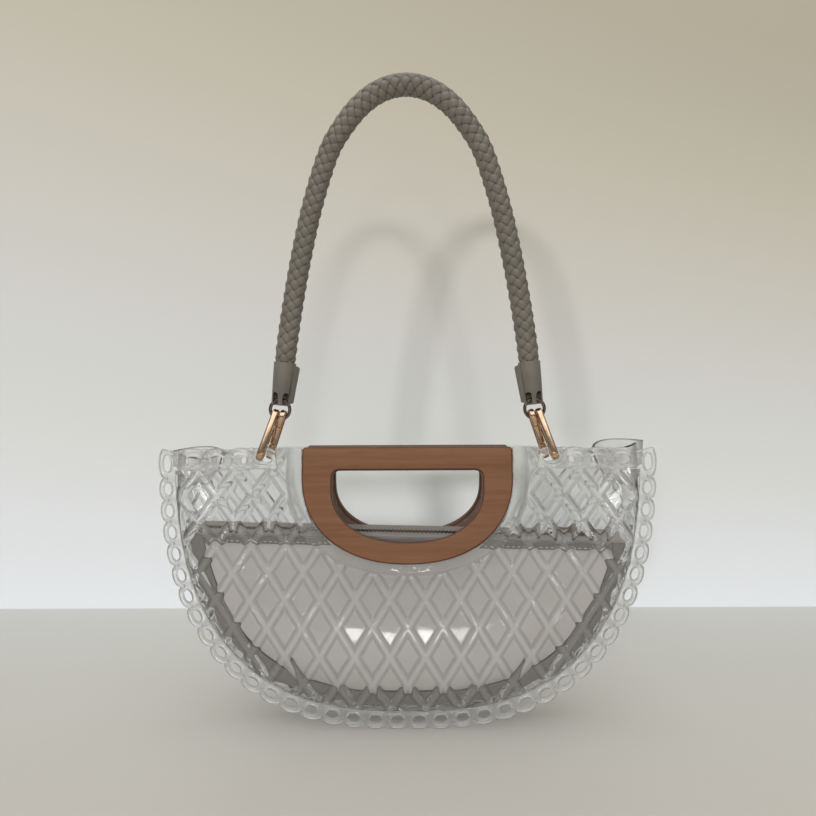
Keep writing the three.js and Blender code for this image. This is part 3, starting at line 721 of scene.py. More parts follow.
def cut_along(bm, line, faces, width=4):
    """Cuts those of the given faces that are near a line of the front view along it."""
    faces = dict.fromkeys(faces)
    for start, end in pairwise(line):
        along = (end - start).normalized()
        across = Vector((along.z, 0, -along.x))
        middle, half = (start + end) / 2, (end - start).length / 2 + width
        parts = {}
        for face in faces:
            offset = face.calc_center_median() - middle
            if abs(offset.dot(across)) < width and abs(offset.dot(along)) < half:
                parts.update(dict.fromkeys((face, *face.edges, *face.verts)))
        made = bmesh.ops.bisect_plane(
            bm, geom=list(parts), dist=ON_CUT, plane_co=start, plane_no=across)["geom"]
        faces.update(dict.fromkeys(part for part in made if isinstance(part, bmesh.types.BMFace)))


def rib_place(x, z):
    """A place of the front view in rib spacings along the two families of ribs."""
    root = math.sqrt(RIB_ROW_RISE ** 2 - 4 * RIB_ROW_CLOSING * (z - RIB_ROW_ZERO))
    row = (RIB_ROW_RISE - root) / (2 * RIB_ROW_CLOSING)
    return row / 2 + x / RIB_PITCH, row / 2 - x / RIB_PITCH


def from_rib(a, b):
    """How far a place, given in rib spacings, is from the nearest rib."""
    return min(abs(a - round(a)), abs(b - round(b))) * RIB_SPACING


def between(rows, distance):
    """A value read off rows of [distance, value]."""
    for (start, first), (end, last) in pairwise(rows):
        if distance < end:
            return first + (last - first) * (distance - start) / (end - start)
    return rows[-1][1]


def rib_relief(x, z):
    """Height of the diamond ribs, and of the panes between them, which the moulding left a little tilted."""
    a, b = rib_place(x, z)
    nearest = from_rib(a, b)
    tilt = noise.cell_vector(Vector((math.floor(a) + 0.5, math.floor(b) + 0.5, PANE_SEED)))
    lie = (a % 1 - 0.5) * (tilt.x - 0.5) + (b % 1 - 0.5) * (tilt.y - 0.5)
    pane = 2 * PANE_TILT * RIB_SPACING * lie * smooth_step(RIB_SIDE[1], RIB_FOOT, nearest)
    return between(RIB_ROWS, nearest) + pane


def look(x, y, z):
    """Share of light that a shell passes at a place on its skin, lowered by painted shade on steep faces and
    loop edges, and its haze there.
    """
    if reach(x, z) > 1 or (abs(x) > TOP_ROW_END and z > TOP_LOOP_BASE):
        # Loops: painted shade on their round edges
        level = abs(abs(y) - half_depth(x, z))
        clears = smooth_step(*EDGE_CLEARS, level * 2 / LOOP_THICKNESS)
        return LOOP_EDGE_PAINTED_SHADE + (1 - LOOP_EDGE_PAINTED_SHADE) * clears, HAZE_LOOP
    nearest = from_rib(*rib_place(x, z))
    # Rib tops, painted shade on the rib sides, then the panes
    clear = between((
        (0, CLEAR_TOP), (RIB_TOP, CLEAR_TOP), (RIB_SIDE[0], SIDE_PAINTED_SHADE), (RIB_SIDE[1], SIDE_PAINTED_SHADE),
        (RIB_FOOT, CLEAR_PANE)), nearest)
    haze = between(((0, HAZE_TOP), (RIB_TOP, HAZE_TOP), (RIB_SIDE[1], HAZE_PANE)), nearest)
    height, left = apron_relief(x, z)
    # The apron's steep steps take the same painted shade
    steep = height / APRON_STEPS[2][2]
    steep = 4 * steep * (1 - steep)
    apron = CLEAR_TOP + (SIDE_PAINTED_SHADE - CLEAR_TOP) * steep
    return apron + (clear - apron) * left, HAZE_TOP + (haze - HAZE_TOP) * left


def set_look(bm, rule):
    """Stores the share of light passed, with its painted shade, and the haze, which a rule gives for a place,
    on every vertex.
    """
    clear = bm.verts.layers.float.new("clarity_and_painted_shade")
    haze = bm.verts.layers.float.new("haze")
    for vert in bm.verts:
        vert[clear], vert[haze] = rule(*vert.co)


def apron_relief(x, z):
    """Height of the raised border round a handle, and how much of the ribs it leaves."""
    levels = [d_height(x, z, side, below, HANDLE_OUTER) for side, below, _ in APRON_STEPS]
    if levels[0] >= 1:
        return 0, 1
    for k, (outer, inner) in enumerate(pairwise(levels)):
        if inner >= 1:
            share = (1 - outer) / (inner - outer)
            low, high = APRON_STEPS[k][2], APRON_STEPS[k + 1][2]
            return low + (high - low) * share, (1 - share) if k == 0 else 0
    return 0, 0


def rib_grid():
    """A flat grid in the front view whose lines run along the ribs, cut to the shell's outline."""
    rows = [row / RIB_SPACING for row, _ in RIB_ROWS]
    fractions = [*rows, 0.5, *[1 - row for row in reversed(rows[1:])]]
    first, cells = RIB_CELLS
    bm = bmesh.new()
    size = cells * len(fractions)
    bmesh.ops.create_grid(bm, x_segments=size, y_segments=size, size=size / 2)

    def spacing(value):
        cell, part = divmod(round(value + size / 2), len(fractions))
        return first + cell + fractions[part]

    for vert in bm.verts:
        a, b = spacing(vert.co.x), spacing(vert.co.y)
        row = a + b
        height = RIB_ROW_ZERO + (RIB_ROW_RISE - RIB_ROW_CLOSING * row) * row
        vert.co = ((a - b) * RIB_PITCH / 2, 0, height)
    # Most of what lies outside goes first, which makes the cuts quick
    far = []
    for face in bm.faces:
        x, _, z = face.calc_center_median()
        if reach(x, z) > 1.2 or z > PANEL_TOP + 9.5:
            far.append(face)
    bmesh.ops.delete(bm, geom=far, context="FACES")
    for start, end in pairwise(rim_stations(RIM_HEIGHT - 1, RIM_DEPTH - PANEL_LAP, 72)):
        along = end - start
        cut_across(bm, start, (along.z, 0, -along.x), clear_outer=True)
    cut_across(bm, (0, 0, PANEL_TOP), (0, 0, 1), clear_outer=True)
    return bm


def ribbed_panel():
    """The domed panel of a shell: diamond ribs outside, smooth inside, open in the handle."""
    bm = rib_grid()
    lap_top = TOP_LOOP_BASE + PANEL_LAP
    apron_edge = TOP_ROW_END + PANEL_LAP / 2
    for side in (-1, 1):
        corner = Vector((side * apron_edge, 0, lap_top))
        for end in (Vector((corner.x, 0, RIM_HEIGHT)), Vector((side * RIM_HALF_WIDTH, 0, lap_top))):
            cut_along(bm, [corner, end], bm.faces)

    def near_d(side, below, outline):
        levels = ((face, d_height(*face.calc_center_median().xz, side, below, outline)) for face in bm.faces)
        return [face for face, level in levels if 0.85 < level < 1.15]

    for side, below, _ in APRON_STEPS:
        band = near_d(side, below, HANDLE_OUTER)
        cut_along(bm, d_line(side, below, HANDLE_OUTER, PANEL_TOP + 1), band)
    hand = d_line(HAND_CUT_MARGIN, HAND_CUT_MARGIN, HANDLE_INNER, 0)[1:-1]
    hand_top = HANDLE_TOP + (HANDLE_INNER[1] + HAND_CUT_MARGIN) / HANDLE_SLOPE
    corners = [Vector((p.x, 0, hand_top)) for p in (hand[0], hand[-1])]
    cut_along(bm, [corners[0], *hand, corners[1]], near_d(HAND_CUT_MARGIN, HAND_CUT_MARGIN, HANDLE_INNER))
    cut_along(bm, corners, [face for face in bm.faces if abs(face.calc_center_median().z - hand_top) < 8])
    waste = []
    for face in bm.faces:
        x, _, z = face.calc_center_median()
        in_hand = z < hand_top and d_height(x, z, HAND_CUT_MARGIN, HAND_CUT_MARGIN, HANDLE_INNER) < 1
        if in_hand or (abs(x) > apron_edge and z > lap_top):
            waste.append(face)
    bmesh.ops.delete(bm, geom=waste, context="FACES")
    welded = {e for f in bm.faces if reach(*f.calc_center_median().xz) > WELD_FROM[0] for e in f.edges}
    divided = [e for e in bm.edges if e in welded and e.calc_length() > WELD_EDGE]
    bmesh.ops.subdivide_edges(bm, edges=divided, cuts=2, use_grid_fill=True)
    made = bmesh.ops.extrude_face_region(bm, geom=bm.faces[:], use_keep_orig=True)["geom"]
    front = {part for part in made if isinstance(part, bmesh.types.BMVert)}
    for vert in bm.verts:
        x, _, z = vert.co
        vert.co.y = PANEL_THICKNESS / 2 - half_depth(x, z)
        if vert in front:
            border, left = apron_relief(x, z)
            ribs = rib_relief(x, z) * left * smooth_step(*RIB_FADE, reach(x, z))
            weld = smooth_step(*WELD_FROM, reach(x, z)) * noise.noise(Vector((x, 0, z)) / WELD_LENGTH)
            vert.co.y -= PANEL_THICKNESS + (max(border, ribs) if border else ribs) + WELD_RIPPLE * weld
    bmesh.ops.recalc_face_normals(bm, faces=bm.faces)
    return bm


def shells():
    """Front and back shells, each one moulding: the panel joined to its rim."""
    front = joined(rim_plate(), ribbed_panel())
    set_look(front, look)
    back = front.copy()
    move(back, Matrix.Rotation(math.pi, 4, "Z"))
    for vert in back.verts:
        hang = smooth_step(*SAG_ACROSS, abs(vert.co.x)) * smooth_step(*SAG_UP, vert.co.z)
        vert.co.z -= BACK_SAG * hang
    finish(front, "front_shell_moulding", PVC, "clear_pvc", "front_shell")
    finish(back, "back_shell_moulding", PVC, "clear_pvc", "back_shell")


# Gusset strip: near the mouth it folds in, flares at its sides, more so behind, and its hem waves up and down
GUSSET_THICKNESS = 1.6
GUSSET_TOP = 180
GUSSET_STEPS = 200
GUSSET_COLUMNS = 16
FOLD_START = 126
FOLD_DEPTH = 26
FOLD_POWER = 1.4
FLARE = 4.2
FLARE_TILT = 7.2
SEAM_FROM = 60
HEM = 1
HEM_FROM = 30
HEM_WAVE = 3.5
HEM_LEFT = -2.5
HEM_RIGHT = 0.5
HEM_RIGHT_CORNER = 3
CRUMPLE = 2.6
CRUMPLE_LENGTH = 9


def gusset():
    """The clear strip between the two rims, crumpled a little. Where they close up, near the mouth, it
    folds in."""
    stations = rim_stations(GUSSET_TOP, RIM_DEPTH - GUSSET_THICKNESS / 2, GUSSET_STEPS)
    half = RIM_PLANE - LOOP_THICKNESS / 2 - GAP
    across = [half * (2 * i / GUSSET_COLUMNS - 1) for i in range(GUSSET_COLUMNS + 1)]
    profile = [(-GUSSET_THICKNESS / 2, y) for y in across]
    profile += [(GUSSET_THICKNESS / 2, y) for y in reversed(across)]
    bm = bmesh.new()
    sweep(bm, frames_along(stations), profile)
    cut_across(bm, (0, 0, GUSSET_TOP - HEM), (0, 0, 1))

    # Painted shade: greyer along the seams, darkest at the hem
    def strip_look(_, y, z):
        seam = smooth_step(0.9, 1, abs(y) / half) * smooth_step(SEAM_FROM, 2 * SEAM_FROM, z)
        clear = CLEAR_GUSSET + (SEAM_PAINTED_SHADE - CLEAR_GUSSET) * seam
        return HEM_PAINTED_SHADE if z > GUSSET_TOP - HEM + 0.1 else clear, HAZE_PANE

    set_look(bm, strip_look)
    for vert in bm.verts:
        aside = (vert.co.y / half) ** 2
        swell = 1 - 2 * abs(noise.noise(vert.co / CRUMPLE_LENGTH))
        outward = Vector((vert.co.x, 0, vert.co.z - RIM_HEIGHT)).normalized()
        fold = smooth_step(FOLD_START, GUSSET_TOP, vert.co.z)
        vert.co += outward * max(CRUMPLE * swell * (1 - aside ** 2), 0) * (1 - fold)
        depth = vert.co.y / half
        flare = (FLARE + FLARE_TILT * depth) * aside - FOLD_DEPTH * (1 - abs(depth) ** FOLD_POWER)
        vert.co.x += math.copysign(fold, vert.co.x) * flare
        wave = HEM_WAVE * math.copysign(1 - (2 * abs(depth) - 1) ** 2, depth)
        wave += HEM_RIGHT + HEM_RIGHT_CORNER * aside if vert.co.x > 0 else HEM_LEFT
        vert.co.z += wave * smooth_step(GUSSET_TOP - HEM_FROM, GUSSET_TOP, vert.co.z)
    finish(bm, "gusset_strip", PVC, "clear_pvc", "gusset")


def d_outline(outline, steps):
    """Outline of a handle's D, [x, z] along its slope, with round top corners."""
    half_width, top, shoulder, bottom, corner = outline
    points = [(x, shoulder - drop) for x, drop in d_curve(half_width, shoulder - bottom, steps)]
    points += arc((half_width - corner, top - corner), corner, 0, 90, 6)
    return points + arc((corner - half_width, top - corner), corner, 90, 180, 6)


def handles():
    """Wooden D plates lying on the leaning part of each shell."""
    for name, turn in (("front", 0), ("back", math.pi)):
        outlines = [d_outline(HANDLE_OUTER, 72), d_outline(HANDLE_INNER, 56)]
        bm = rounded_plate(outlines, HANDLE_THICKNESS, HANDLE_EDGE)
        # Painted shade on the round edges, where the plate is thinner than its full thickness
        edge = bm.verts.layers.float.new("edge")
        for vert in bm.verts:
            vert[edge] = WOOD_EDGE_PAINTED_SHADE if abs(vert.co.y) < HANDLE_THICKNESS / 2 - 0.02 else 0
        place = (Matrix.Rotation(turn, 4, "Z")
                 @ Matrix.Translation((0, -MOUTH_HALF_GAP - PANEL_THICKNESS / 2, HANDLE_TOP))
                 @ Matrix.Rotation(-math.atan(LEAN), 4, "X")
                 @ Matrix.Translation((0, -GAP - HANDLE_THICKNESS / 2, 0)))
        move(bm, place)
        finish(bm, f"{name}_handle_wood", WOOD, "wood", f"{name}_handle", crease=60)


def strap_end(side):
    """The frame at a ring's centre, its Z along the strap's leaning end."""
    place = Matrix.Translation((side * RING_CENTRE[0], 0, RING_CENTRE[1]))
    return place @ Matrix.Rotation(-side * STRAP_END_LEAN, 4, "Y")


def smooth_route(points, steps=24):
    """A smooth line through points."""
    padded = [2 * points[0] - points[1], *points, 2 * points[-1] - points[-2]]
    line = []
    for p, q, r, s in zip(padded, padded[1:], padded[2:], padded[3:]):
        for i in range(steps):
            t = i / steps
            line.append(0.5 * (2 * q + (r - p) * t + (2 * p - 5 * q + 4 * r - s) * t * t
                               + (3 * q - p - 3 * r + s) * t ** 3))
    return [*line, points[-1]]


def braid_repeat(turn):
    """One turn of a round braid standing on the origin: thongs both ways, each over one and under one."""
    middle = STRAP_RADIUS - THONG_HALF_THICKNESS - THONG_SWING
    profile = []
    for i in range(10):
        angle = 2 * math.pi * i / 10
        across = THONG_HALF_WIDTH * signed_power(math.cos(angle), THONG_FLATNESS)
        profile.append((across, THONG_HALF_THICKNESS * math.sin(angle)))
    bm = bmesh.new()
    for way in (-1, 1):
        for k in range(BRAID_PAIRS):
            places, sides = [], []
            for i in range(-1, THONG_STEPS_PER_TURN + 2):
                angle = 2 * math.pi * (way * i / THONG_STEPS_PER_TURN + k / BRAID_PAIRS)
                out = Vector((math.cos(angle), math.sin(angle), 0))
                radius = middle + way * THONG_SWING * math.cos(BRAID_PAIRS * angle)
                places.append(out * radius + Vector((0, 0, turn * i / THONG_STEPS_PER_TURN)))
                sides.append(out)
            frames = [frame_at(here, after - before, side) for before, here, after, side
                      in zip(places, places[1:], places[2:], sides[1:])]
            sweep(bm, frames, profile, capped=False)
    return bm


def strap():
    """The braid repeated along the strap's length and bent to its route, over a plain core."""
    leg = [strap_end(-1) @ Vector((0, 0, up)) for up in
           (SLEEVE_FLOOR + GAP, (SLEEVE_FLOOR + SLEEVE_TOP) / 2, SLEEVE_TOP + 1)]
    left = [*leg, *[Vector((-x, 0, z)) for x, z in STRAP_HALF_ROUTE]]
    right = [Vector((-p.x, 0, p.z)) for p in reversed(left)]
    at, total = evenly(smooth_route([*left, Vector((0, 0, STRAP_APEX)), *right]))
    repeats = round(total / BRAID_TURN)
    bm = braid_repeat(total / repeats)
    levels = [Matrix.Translation((0, 0, total / repeats * i / 4)) for i in range(5)]
    sweep(bm, levels, ring_of_points(STRAP_CORE, 10), capped=False)
    bmesh.ops.spin(
        bm, geom=[*bm.verts, *bm.edges, *bm.faces], cent=(0, 0, 0), axis=(0, 0, 1), angle=0,
        dvec=(0, 0, total / repeats), steps=repeats - 1, use_duplicate=True)
    bmesh.ops.remove_doubles(bm, verts=bm.verts, dist=0.01)
    for vert in bm.verts:
        x, y, distance = vert.co
        place, along = at(distance)
        from_end = min(distance, total - distance)
        wider = STRAP_END_SLIM + (1 - STRAP_END_SLIM) * smooth_step(*SLIM_ALONG, from_end)
        wider += STRAP_TOP_SWELL * smooth_step(*SWELL_ALONG, from_end / total)
        vert.co = place + (Vector((-along.z, 0, along.x)) * x + Vector((0, y, 0))) * wider
    bmesh.ops.holes_fill(bm, edges=bm.edges)
    bmesh.ops.recalc_face_normals(bm, faces=bm.faces)
    finish(bm, "strap_braid", BRAID, "braid", "strap", crease=80)


def ring_of_wire(radius, wire, round_steps, wire_steps):
    """A ring standing in the front view round the origin."""
    bm = bmesh.new()
    bmesh.ops.create_circle(bm, segments=wire_steps, radius=wire, matrix=Matrix.Translation((radius, 0, 0)))
    bmesh.ops.spin(
        bm, geom=[*bm.verts, *bm.edges], cent=(0, 0, 0), axis=(0, 1, 0), angle=2 * math.pi, steps=round_steps,
        use_merge=True)
    bmesh.ops.remove_doubles(bm, verts=bm.verts, dist=0.001)
    bmesh.ops.recalc_face_normals(bm, faces=bm.faces)
    return bm


def sleeve(side):
    """Leather wrapped round a strap end: its joined edges stand off as a fin on the side towards the bag's
    middle, and its pinched end has a tongue between two slots that the ring passes through."""
    length = SLEEVE_TOP - SLEEVE_TONGUE
    rings = [ring_of_points(SLEEVE_RADIUS, 48), ring_of_points(SLEEVE_RADIUS - SLEEVE_WALL, 48)]
    bm = rounded_plate(rings, length, SLEEVE_EDGE, steps=2)
    move(bm, Matrix.Rotation(math.pi / 2, 4, "X"))
    move(bm, Matrix.Translation((0, 0, SLEEVE_TONGUE + length / 2)))
    for level in PINCH_LEVELS:
        cut_across(bm, (0, 0, level), (0, 0, 1))
    for way in (-1, 1):
        near, far = TONGUE_HALF, TONGUE_HALF + SLOT_WIDTH
        round_top = arc(((near + far) / 2, SLOT_TOP - SLOT_WIDTH / 2), SLOT_WIDTH / 2, 180, 0, 8)
        outline = [(near, CUTTER_DOWN), *round_top, (far, SLEEVE_HEM), (CUTTER_OUT, SLEEVE_HEM),
                   (CUTTER_OUT, CUTTER_DOWN)]
        slot = rounded_plate([[(way * x, z) for x, z in outline]], CUTTER_DEPTH, 0.1, steps=1)
        move(slot, Matrix.Translation((0, CUTTER_MIDDLE, 0)))
        bm = joined(bm, slot, "DIFFERENCE")
    edge = [(-side * x, z) for x, z in (
        (FIN_ROOT, SLEEVE_HEM - 2), (FIN_REACH, SLEEVE_HEM - 1), (FIN_REACH, SLEEVE_TOP - 3),
        (FIN_REACH - 0.5, SLEEVE_TOP - 2), (FIN_ROOT, SLEEVE_TOP - 1))]
    fin = rounded_plate([edge], FIN_THICKNESS, FIN_EDGE, steps=2)
    for vert in fin.verts:
        vert.co.y += (abs(vert.co.x) - SLEEVE_RADIUS) * FIN_SLOPE
    bm = joined(bm, fin)
    for vert in bm.verts:
        across, through = SLEEVE_FOOT
        vert.co.x *= across + (1 - across) * smooth_step(SLEEVE_TONGUE, SLEEVE_TOP, vert.co.z)
        vert.co.y *= through + (1 - through) * smooth_step(SLEEVE_TONGUE, PINCH_TOP, vert.co.z)
    return bm


def sleeves_and_rings():
    """The strap's two leather sleeves, and the metal rings in their ends."""
    for name, side in (("left", -1), ("right", 1)):
        end = strap_end(side)
        bm = sleeve(side)
        move(bm, end)
        finish(bm, f"strap_sleeve_{name}", LEATHER, "leather", f"strap_cap_{name}")
        bm = ring_of_wire(RING_RADIUS, RING_WIRE, 48, 14)
        move(bm, end)
        finish(bm, f"ring_{name}", BRONZE, "bronze", f"strap_ring_{name}", crease=80)


def hooks():
    """Gold snap hooks from a top eyelet of each shell up to the ring, with their spring gates."""
    for face, facing in (("front", -1), ("back", 1)):
        for side, hand in (("left", -1), ("right", 1)):
            outward = -facing * hand
            eye_x = hand * TOP_LOOP_FIRST + outward * HOOK_EYE_SPACING / 2
            eye_z = TOP_EYE_MIDDLE + TOP_EYE[1] / 2 - HOOK_BELOW
            eye = Vector((eye_x, facing * (half_depth(eye_x, eye_z) + HOOK_OUTSIDE), eye_z))
            apart = outward * HOOK_RING_SPACING / 2
            far_edge = abs(apart) + HOOK_THICKNESS / 2
            wire_top = RING_WIRE + HOOK_ON_RING - math.sqrt(RING_RADIUS ** 2 - far_edge ** 2)
            ring = strap_end(hand) @ Vector((apart, 0, wire_top))
            up = (ring - eye).normalized()
            inward = (Vector((0, -facing, 0)) - up * -facing * up.y).normalized()
            place = Matrix.Translation(eye) @ Matrix((inward, up.cross(inward), up)).transposed().to_4x4()
            inner, outer = HOOK_CLEAR_HALF, HOOK_CLEAR_HALF + HOOK_BAR
            low, high = HOOK_CLEAR_HALF, (ring - eye).length - HOOK_CLEAR_HALF
            outline = [
                (outer, GATE_TOP), *arc((0, high), outer, 0, 180), *arc((0, low), outer, 180, 360),
                (outer, GATE_BOTTOM), (inner, GATE_BOTTOM), *arc((0, low), inner, 360, 180),
                *arc((0, high), inner, 180, 0), (inner, GATE_TOP),
            ]
            bm = rounded_plate([outline], HOOK_WIDTH, HOOK_ROUND)
            move(bm, place)
            finish(bm, f"snap_hook_{face}_{side}", GOLD, "gold", f"hook_{face}_{side}")
            radius = GATE_BAR / 2
            pin = (HOOK_CLEAR_HALF + HOOK_BAR / 2, GATE_TOP - GAP - radius)
            foot = (pin[0], GATE_BOTTOM + GAP + radius)
            bar = [*arc(pin, radius, 0, 180), *arc(foot, radius, 180, 360)]
            bm = rounded_plate([bar], GATE_WIDTH, GATE_ROUND)
            move(bm, place)
            gate = f"gate_{face}_{side}"
            finish(bm, f"spring_{gate}", GOLD, "gold", gate, body=gate)


def pouch_lift(x, z):
    """How far the slack pouch stands above its level, more at its left end."""
    return (POUCH_LIFT - x / LIFT_RUN) * smooth_step(LIFT_FROM, POUCH_TOP, z)


def lift(bm):
    """Raises a piece of the pouch with its slack cloth."""
    for vert in bm.verts:
        vert.co.z += pouch_lift(vert.co.x, vert.co.z)


def pouch_face(across, z, facing, out=0):
    """A place on a cloth face: a share of its half width across, at a height before it is lifted."""
    inset = POUCH_INSET + POUCH_EDGE + GAP
    bottom = inset + 1
    rise = min((z - bottom) / (POUCH_TOP - bottom), 1) ** (2 / 3)
    x = -rim_point(rim_crossing(z, inset), inset).x * across
    swell = (1 - across ** 4) * math.sin(math.pi * rise ** 0.7)
    # Each face has ripples of its own, which die out at the seams
    ripple = noise.noise(Vector((x / RIPPLE_ACROSS, facing * 7, z / RIPPLE_UP))) * RIPPLE * min(swell * 2, 1)
    depth = POUCH_HALF_DEPTH + POUCH_BELLY * swell + ripple + out
    return Vector((x, facing * depth, z + pouch_lift(x, z)))


def cloth_sheet(columns, rows, low, high, facing, thickness, out=0):
    """A sheet lying on a cloth face between two heights."""
    bm = bmesh.new()
    bmesh.ops.create_grid(bm, x_segments=columns, y_segments=rows, size=1)
    level = bm.verts.layers.float.new("half_thickness")
    for vert in bm.verts:
        rise = ((vert.co.y + 1) / 2) ** 1.5
        vert.co = pouch_face(vert.co.x, low + (high - low) * rise, facing, out)
        vert[level] = thickness / 2
    thicken(bm, level)
    return bm


def stitches(name, lines, material):
    """A row of short round threads along each line."""
    bm = bmesh.new()
    for line in lines:
        at, total = evenly(line)
        for i in range(int(total / STITCH_PITCH)):
            place, along = at(STITCH_PITCH * (i + 0.5))
            lie = frame_at(place, along, Vector((0, 1, 0)))
            bmesh.ops.create_icosphere(
                bm, subdivisions=1, radius=STITCH_RADIUS,
                matrix=lie @ Matrix.Diagonal((1, 1, STITCH / 2 / STITCH_RADIUS, 1)))
    finish(bm, name, material, "pouch_edging", crease=80)


def pouch_panels():
    """Two domed cloth faces, slack enough to ripple, with a dark facing along the top of each."""
    bottom = POUCH_INSET + POUCH_EDGE + GAP + 1
    rows = []
    for name, facing in (("front", -1), ("back", 1)):
        bm = cloth_sheet(72, 36, bottom, POUCH_TOP, facing, CLOTH)
        finish(bm, f"pouch_{name}_cloth", CLOTH_GREY, "pouch_cloth", f"pouch_{name}")
        out = (CLOTH + FACING_THICKNESS) / 2 + FACING_GAP
        bm = cloth_sheet(72, 6, POUCH_TOP - ZIP_FACING, POUCH_TOP, facing, FACING_THICKNESS, out)
        finish(bm, f"pouch_{name}_zip_facing", EDGING, "pouch_edging")
        seam = POUCH_TOP - ZIP_FACING + STITCH_UP
        skin = out + FACING_THICKNESS / 2
        rows.append([pouch_face(i / 60 - 1, seam, facing, skin) for i in range(1, 120)])
    stitches("pouch_zip_stitches", rows, THREAD)


def pouch_edge():
    """The dark strip round the pouch, turned over onto both faces."""
    stations = rim_stations(POUCH_TOP - CLOTH, POUCH_INSET, 120)
    outside = [(POUCH_EDGE, POUCH_HALF_DEPTH + STRIP_OVER_HEM)]
    for turn in (math.radians(angle) for angle in (0, 30, 60, 90)):
        depth = (POUCH_HALF_DEPTH - STRIP_ROUND) + STRIP_ROUND * math.cos(turn) + STRIP_OVER
        outside.append((STRIP_ROUND - STRIP_ROUND * math.sin(turn), depth))
    outer = [*outside, *[(inset, -y) for inset, y in reversed(outside)]]
    inner = [(inset + (CLOTH if inset < POUCH_EDGE else 0), y - math.copysign(CLOTH, y))
             for inset, y in reversed(outer)]
    bm = bmesh.new()
    sweep(bm, frames_along(stations), [(-inset, y) for inset, y in [*outer, *inner]])
    lift(bm)
    finish(bm, "pouch_edge_strip", EDGING, "pouch_edging", "pouch_gusset")


def zip_tape():
    """Zip tape arched over the pouch's top, higher at the back."""
    depth = POUCH_HALF_DEPTH
    outer = [(-depth, 0), (-depth, 1), (-depth + 0.8, 1.7), (-4, 2), (4, 3), (depth - 1.2, ZIP_RISE),
             (depth, ZIP_RISE - 0.8), (depth, 0)]
    inner = [(y * 0.88, max(up - CLOTH, 0)) for y, up in reversed(outer)]
    bm = bmesh.new()
    frames = [Matrix.Translation((ZIP_HALF_LENGTH * (i / 20 - 1), 0, POUCH_TOP + GAP))
              @ Matrix(((0, 0, 1), (1, 0, 0), (0, 1, 0))).to_4x4() for i in range(41)]
    sweep(bm, frames, [*outer, *inner])
    lift(bm)
    finish(bm, "pouch_zip_tape", TAPE, "pouch_edging", "pouch_zip")


def zip_teeth():
    """The zip's two rows of teeth, shut."""
    bm = bmesh.new()
    length = 2 * (ZIP_HALF_LENGTH - TEETH_INSET)
    for i in range(round(length / TOOTH_PITCH)):
        for row in (-1, 1):
            x = -length / 2 + TOOTH_PITCH * (i + 0.25 + row * 0.25)
            place = Matrix.Translation((x, row * TOOTH_ASIDE, POUCH_TOP + GAP + TEETH_RISE))
            bmesh.ops.create_cube(bm, size=1, matrix=place @ Matrix.Diagonal((*TOOTH_SIZE, 1)))
    bmesh.ops.bevel(
        bm, geom=bm.edges[:], offset=TOOTH_EDGE, affect="EDGES", segments=1, profile=0.5, material=-1)
    lift(bm)
    finish(bm, "pouch_zip_teeth", BRONZE, "pouch_edging")


def zip_slider():
    """The zip's slider, with its pull tab lying along the teeth."""
    long, wide = SLIDER_HALF_LENGTH, SLIDER_HALF_WIDTH
    body = [(-long, -wide), (long, -wide), (long + SLIDER_NOSE, 0), (long, wide), (-long, wide)]
    bm = rounded_plate([body], SLIDER_THICKNESS, 0.8)
    root, half = TAB_ROOT
    strip = [*arc((-TAB_END, 0), TAB_ROUND, 90, 270), (-root, -half), (-root, half)]
    hole = arc((-TAB_HOLE[0], 0), TAB_HOLE[1], 0, 330, 11)
    tab = rounded_plate([strip, hole], TAB_THICKNESS, 0.4)
    move(tab, Matrix.Translation((0, -TAB_RISE, 0)))
    mesh = bpy.data.meshes.new("pull_tab")
    tab.to_mesh(mesh)
    tab.free()
    bm.from_mesh(mesh)
    bpy.data.meshes.remove(mesh)
    height = POUCH_TOP + GAP + TEETH_RISE + SLIDER_ABOVE_TEETH
    place = Matrix.Translation((PULL_AT, 0, height + pouch_lift(PULL_AT, height)))
    move(bm, place @ Matrix.Rotation(-math.pi / 2, 4, "X"))
    finish(bm, "zip_slider_and_pull", BRASS, "brass", "zip_pull")


def table_with_painted_shade():
    """Pale matt table top with painted shade: darker and warmer towards the front, where less light falls,
    paler and cooler towards the wall.
    """
    material, tree, shader, _ = new_material("pale_table_with_painted_shade")
    place = add(tree, "ShaderNodeTexCoord")
    apart = add(tree, "ShaderNodeSeparateXYZ", {"Vector": place.outputs["Object"]})
    share = add(tree, "ShaderNodeMapRange", {"Value": apart.outputs["Y"], "From Min": -0.25, "From Max": 0.2})
    tone = add(tree, "ShaderNodeMix", {
        "Factor": share.outputs["Result"], 6: linear("#c8c3ba"), 7: linear("#cdcdc7")}, data_type="RGBA")
    set_inputs(tree, shader, {"Base Color": tone.outputs[2], "Roughness": 0.5})
    return material


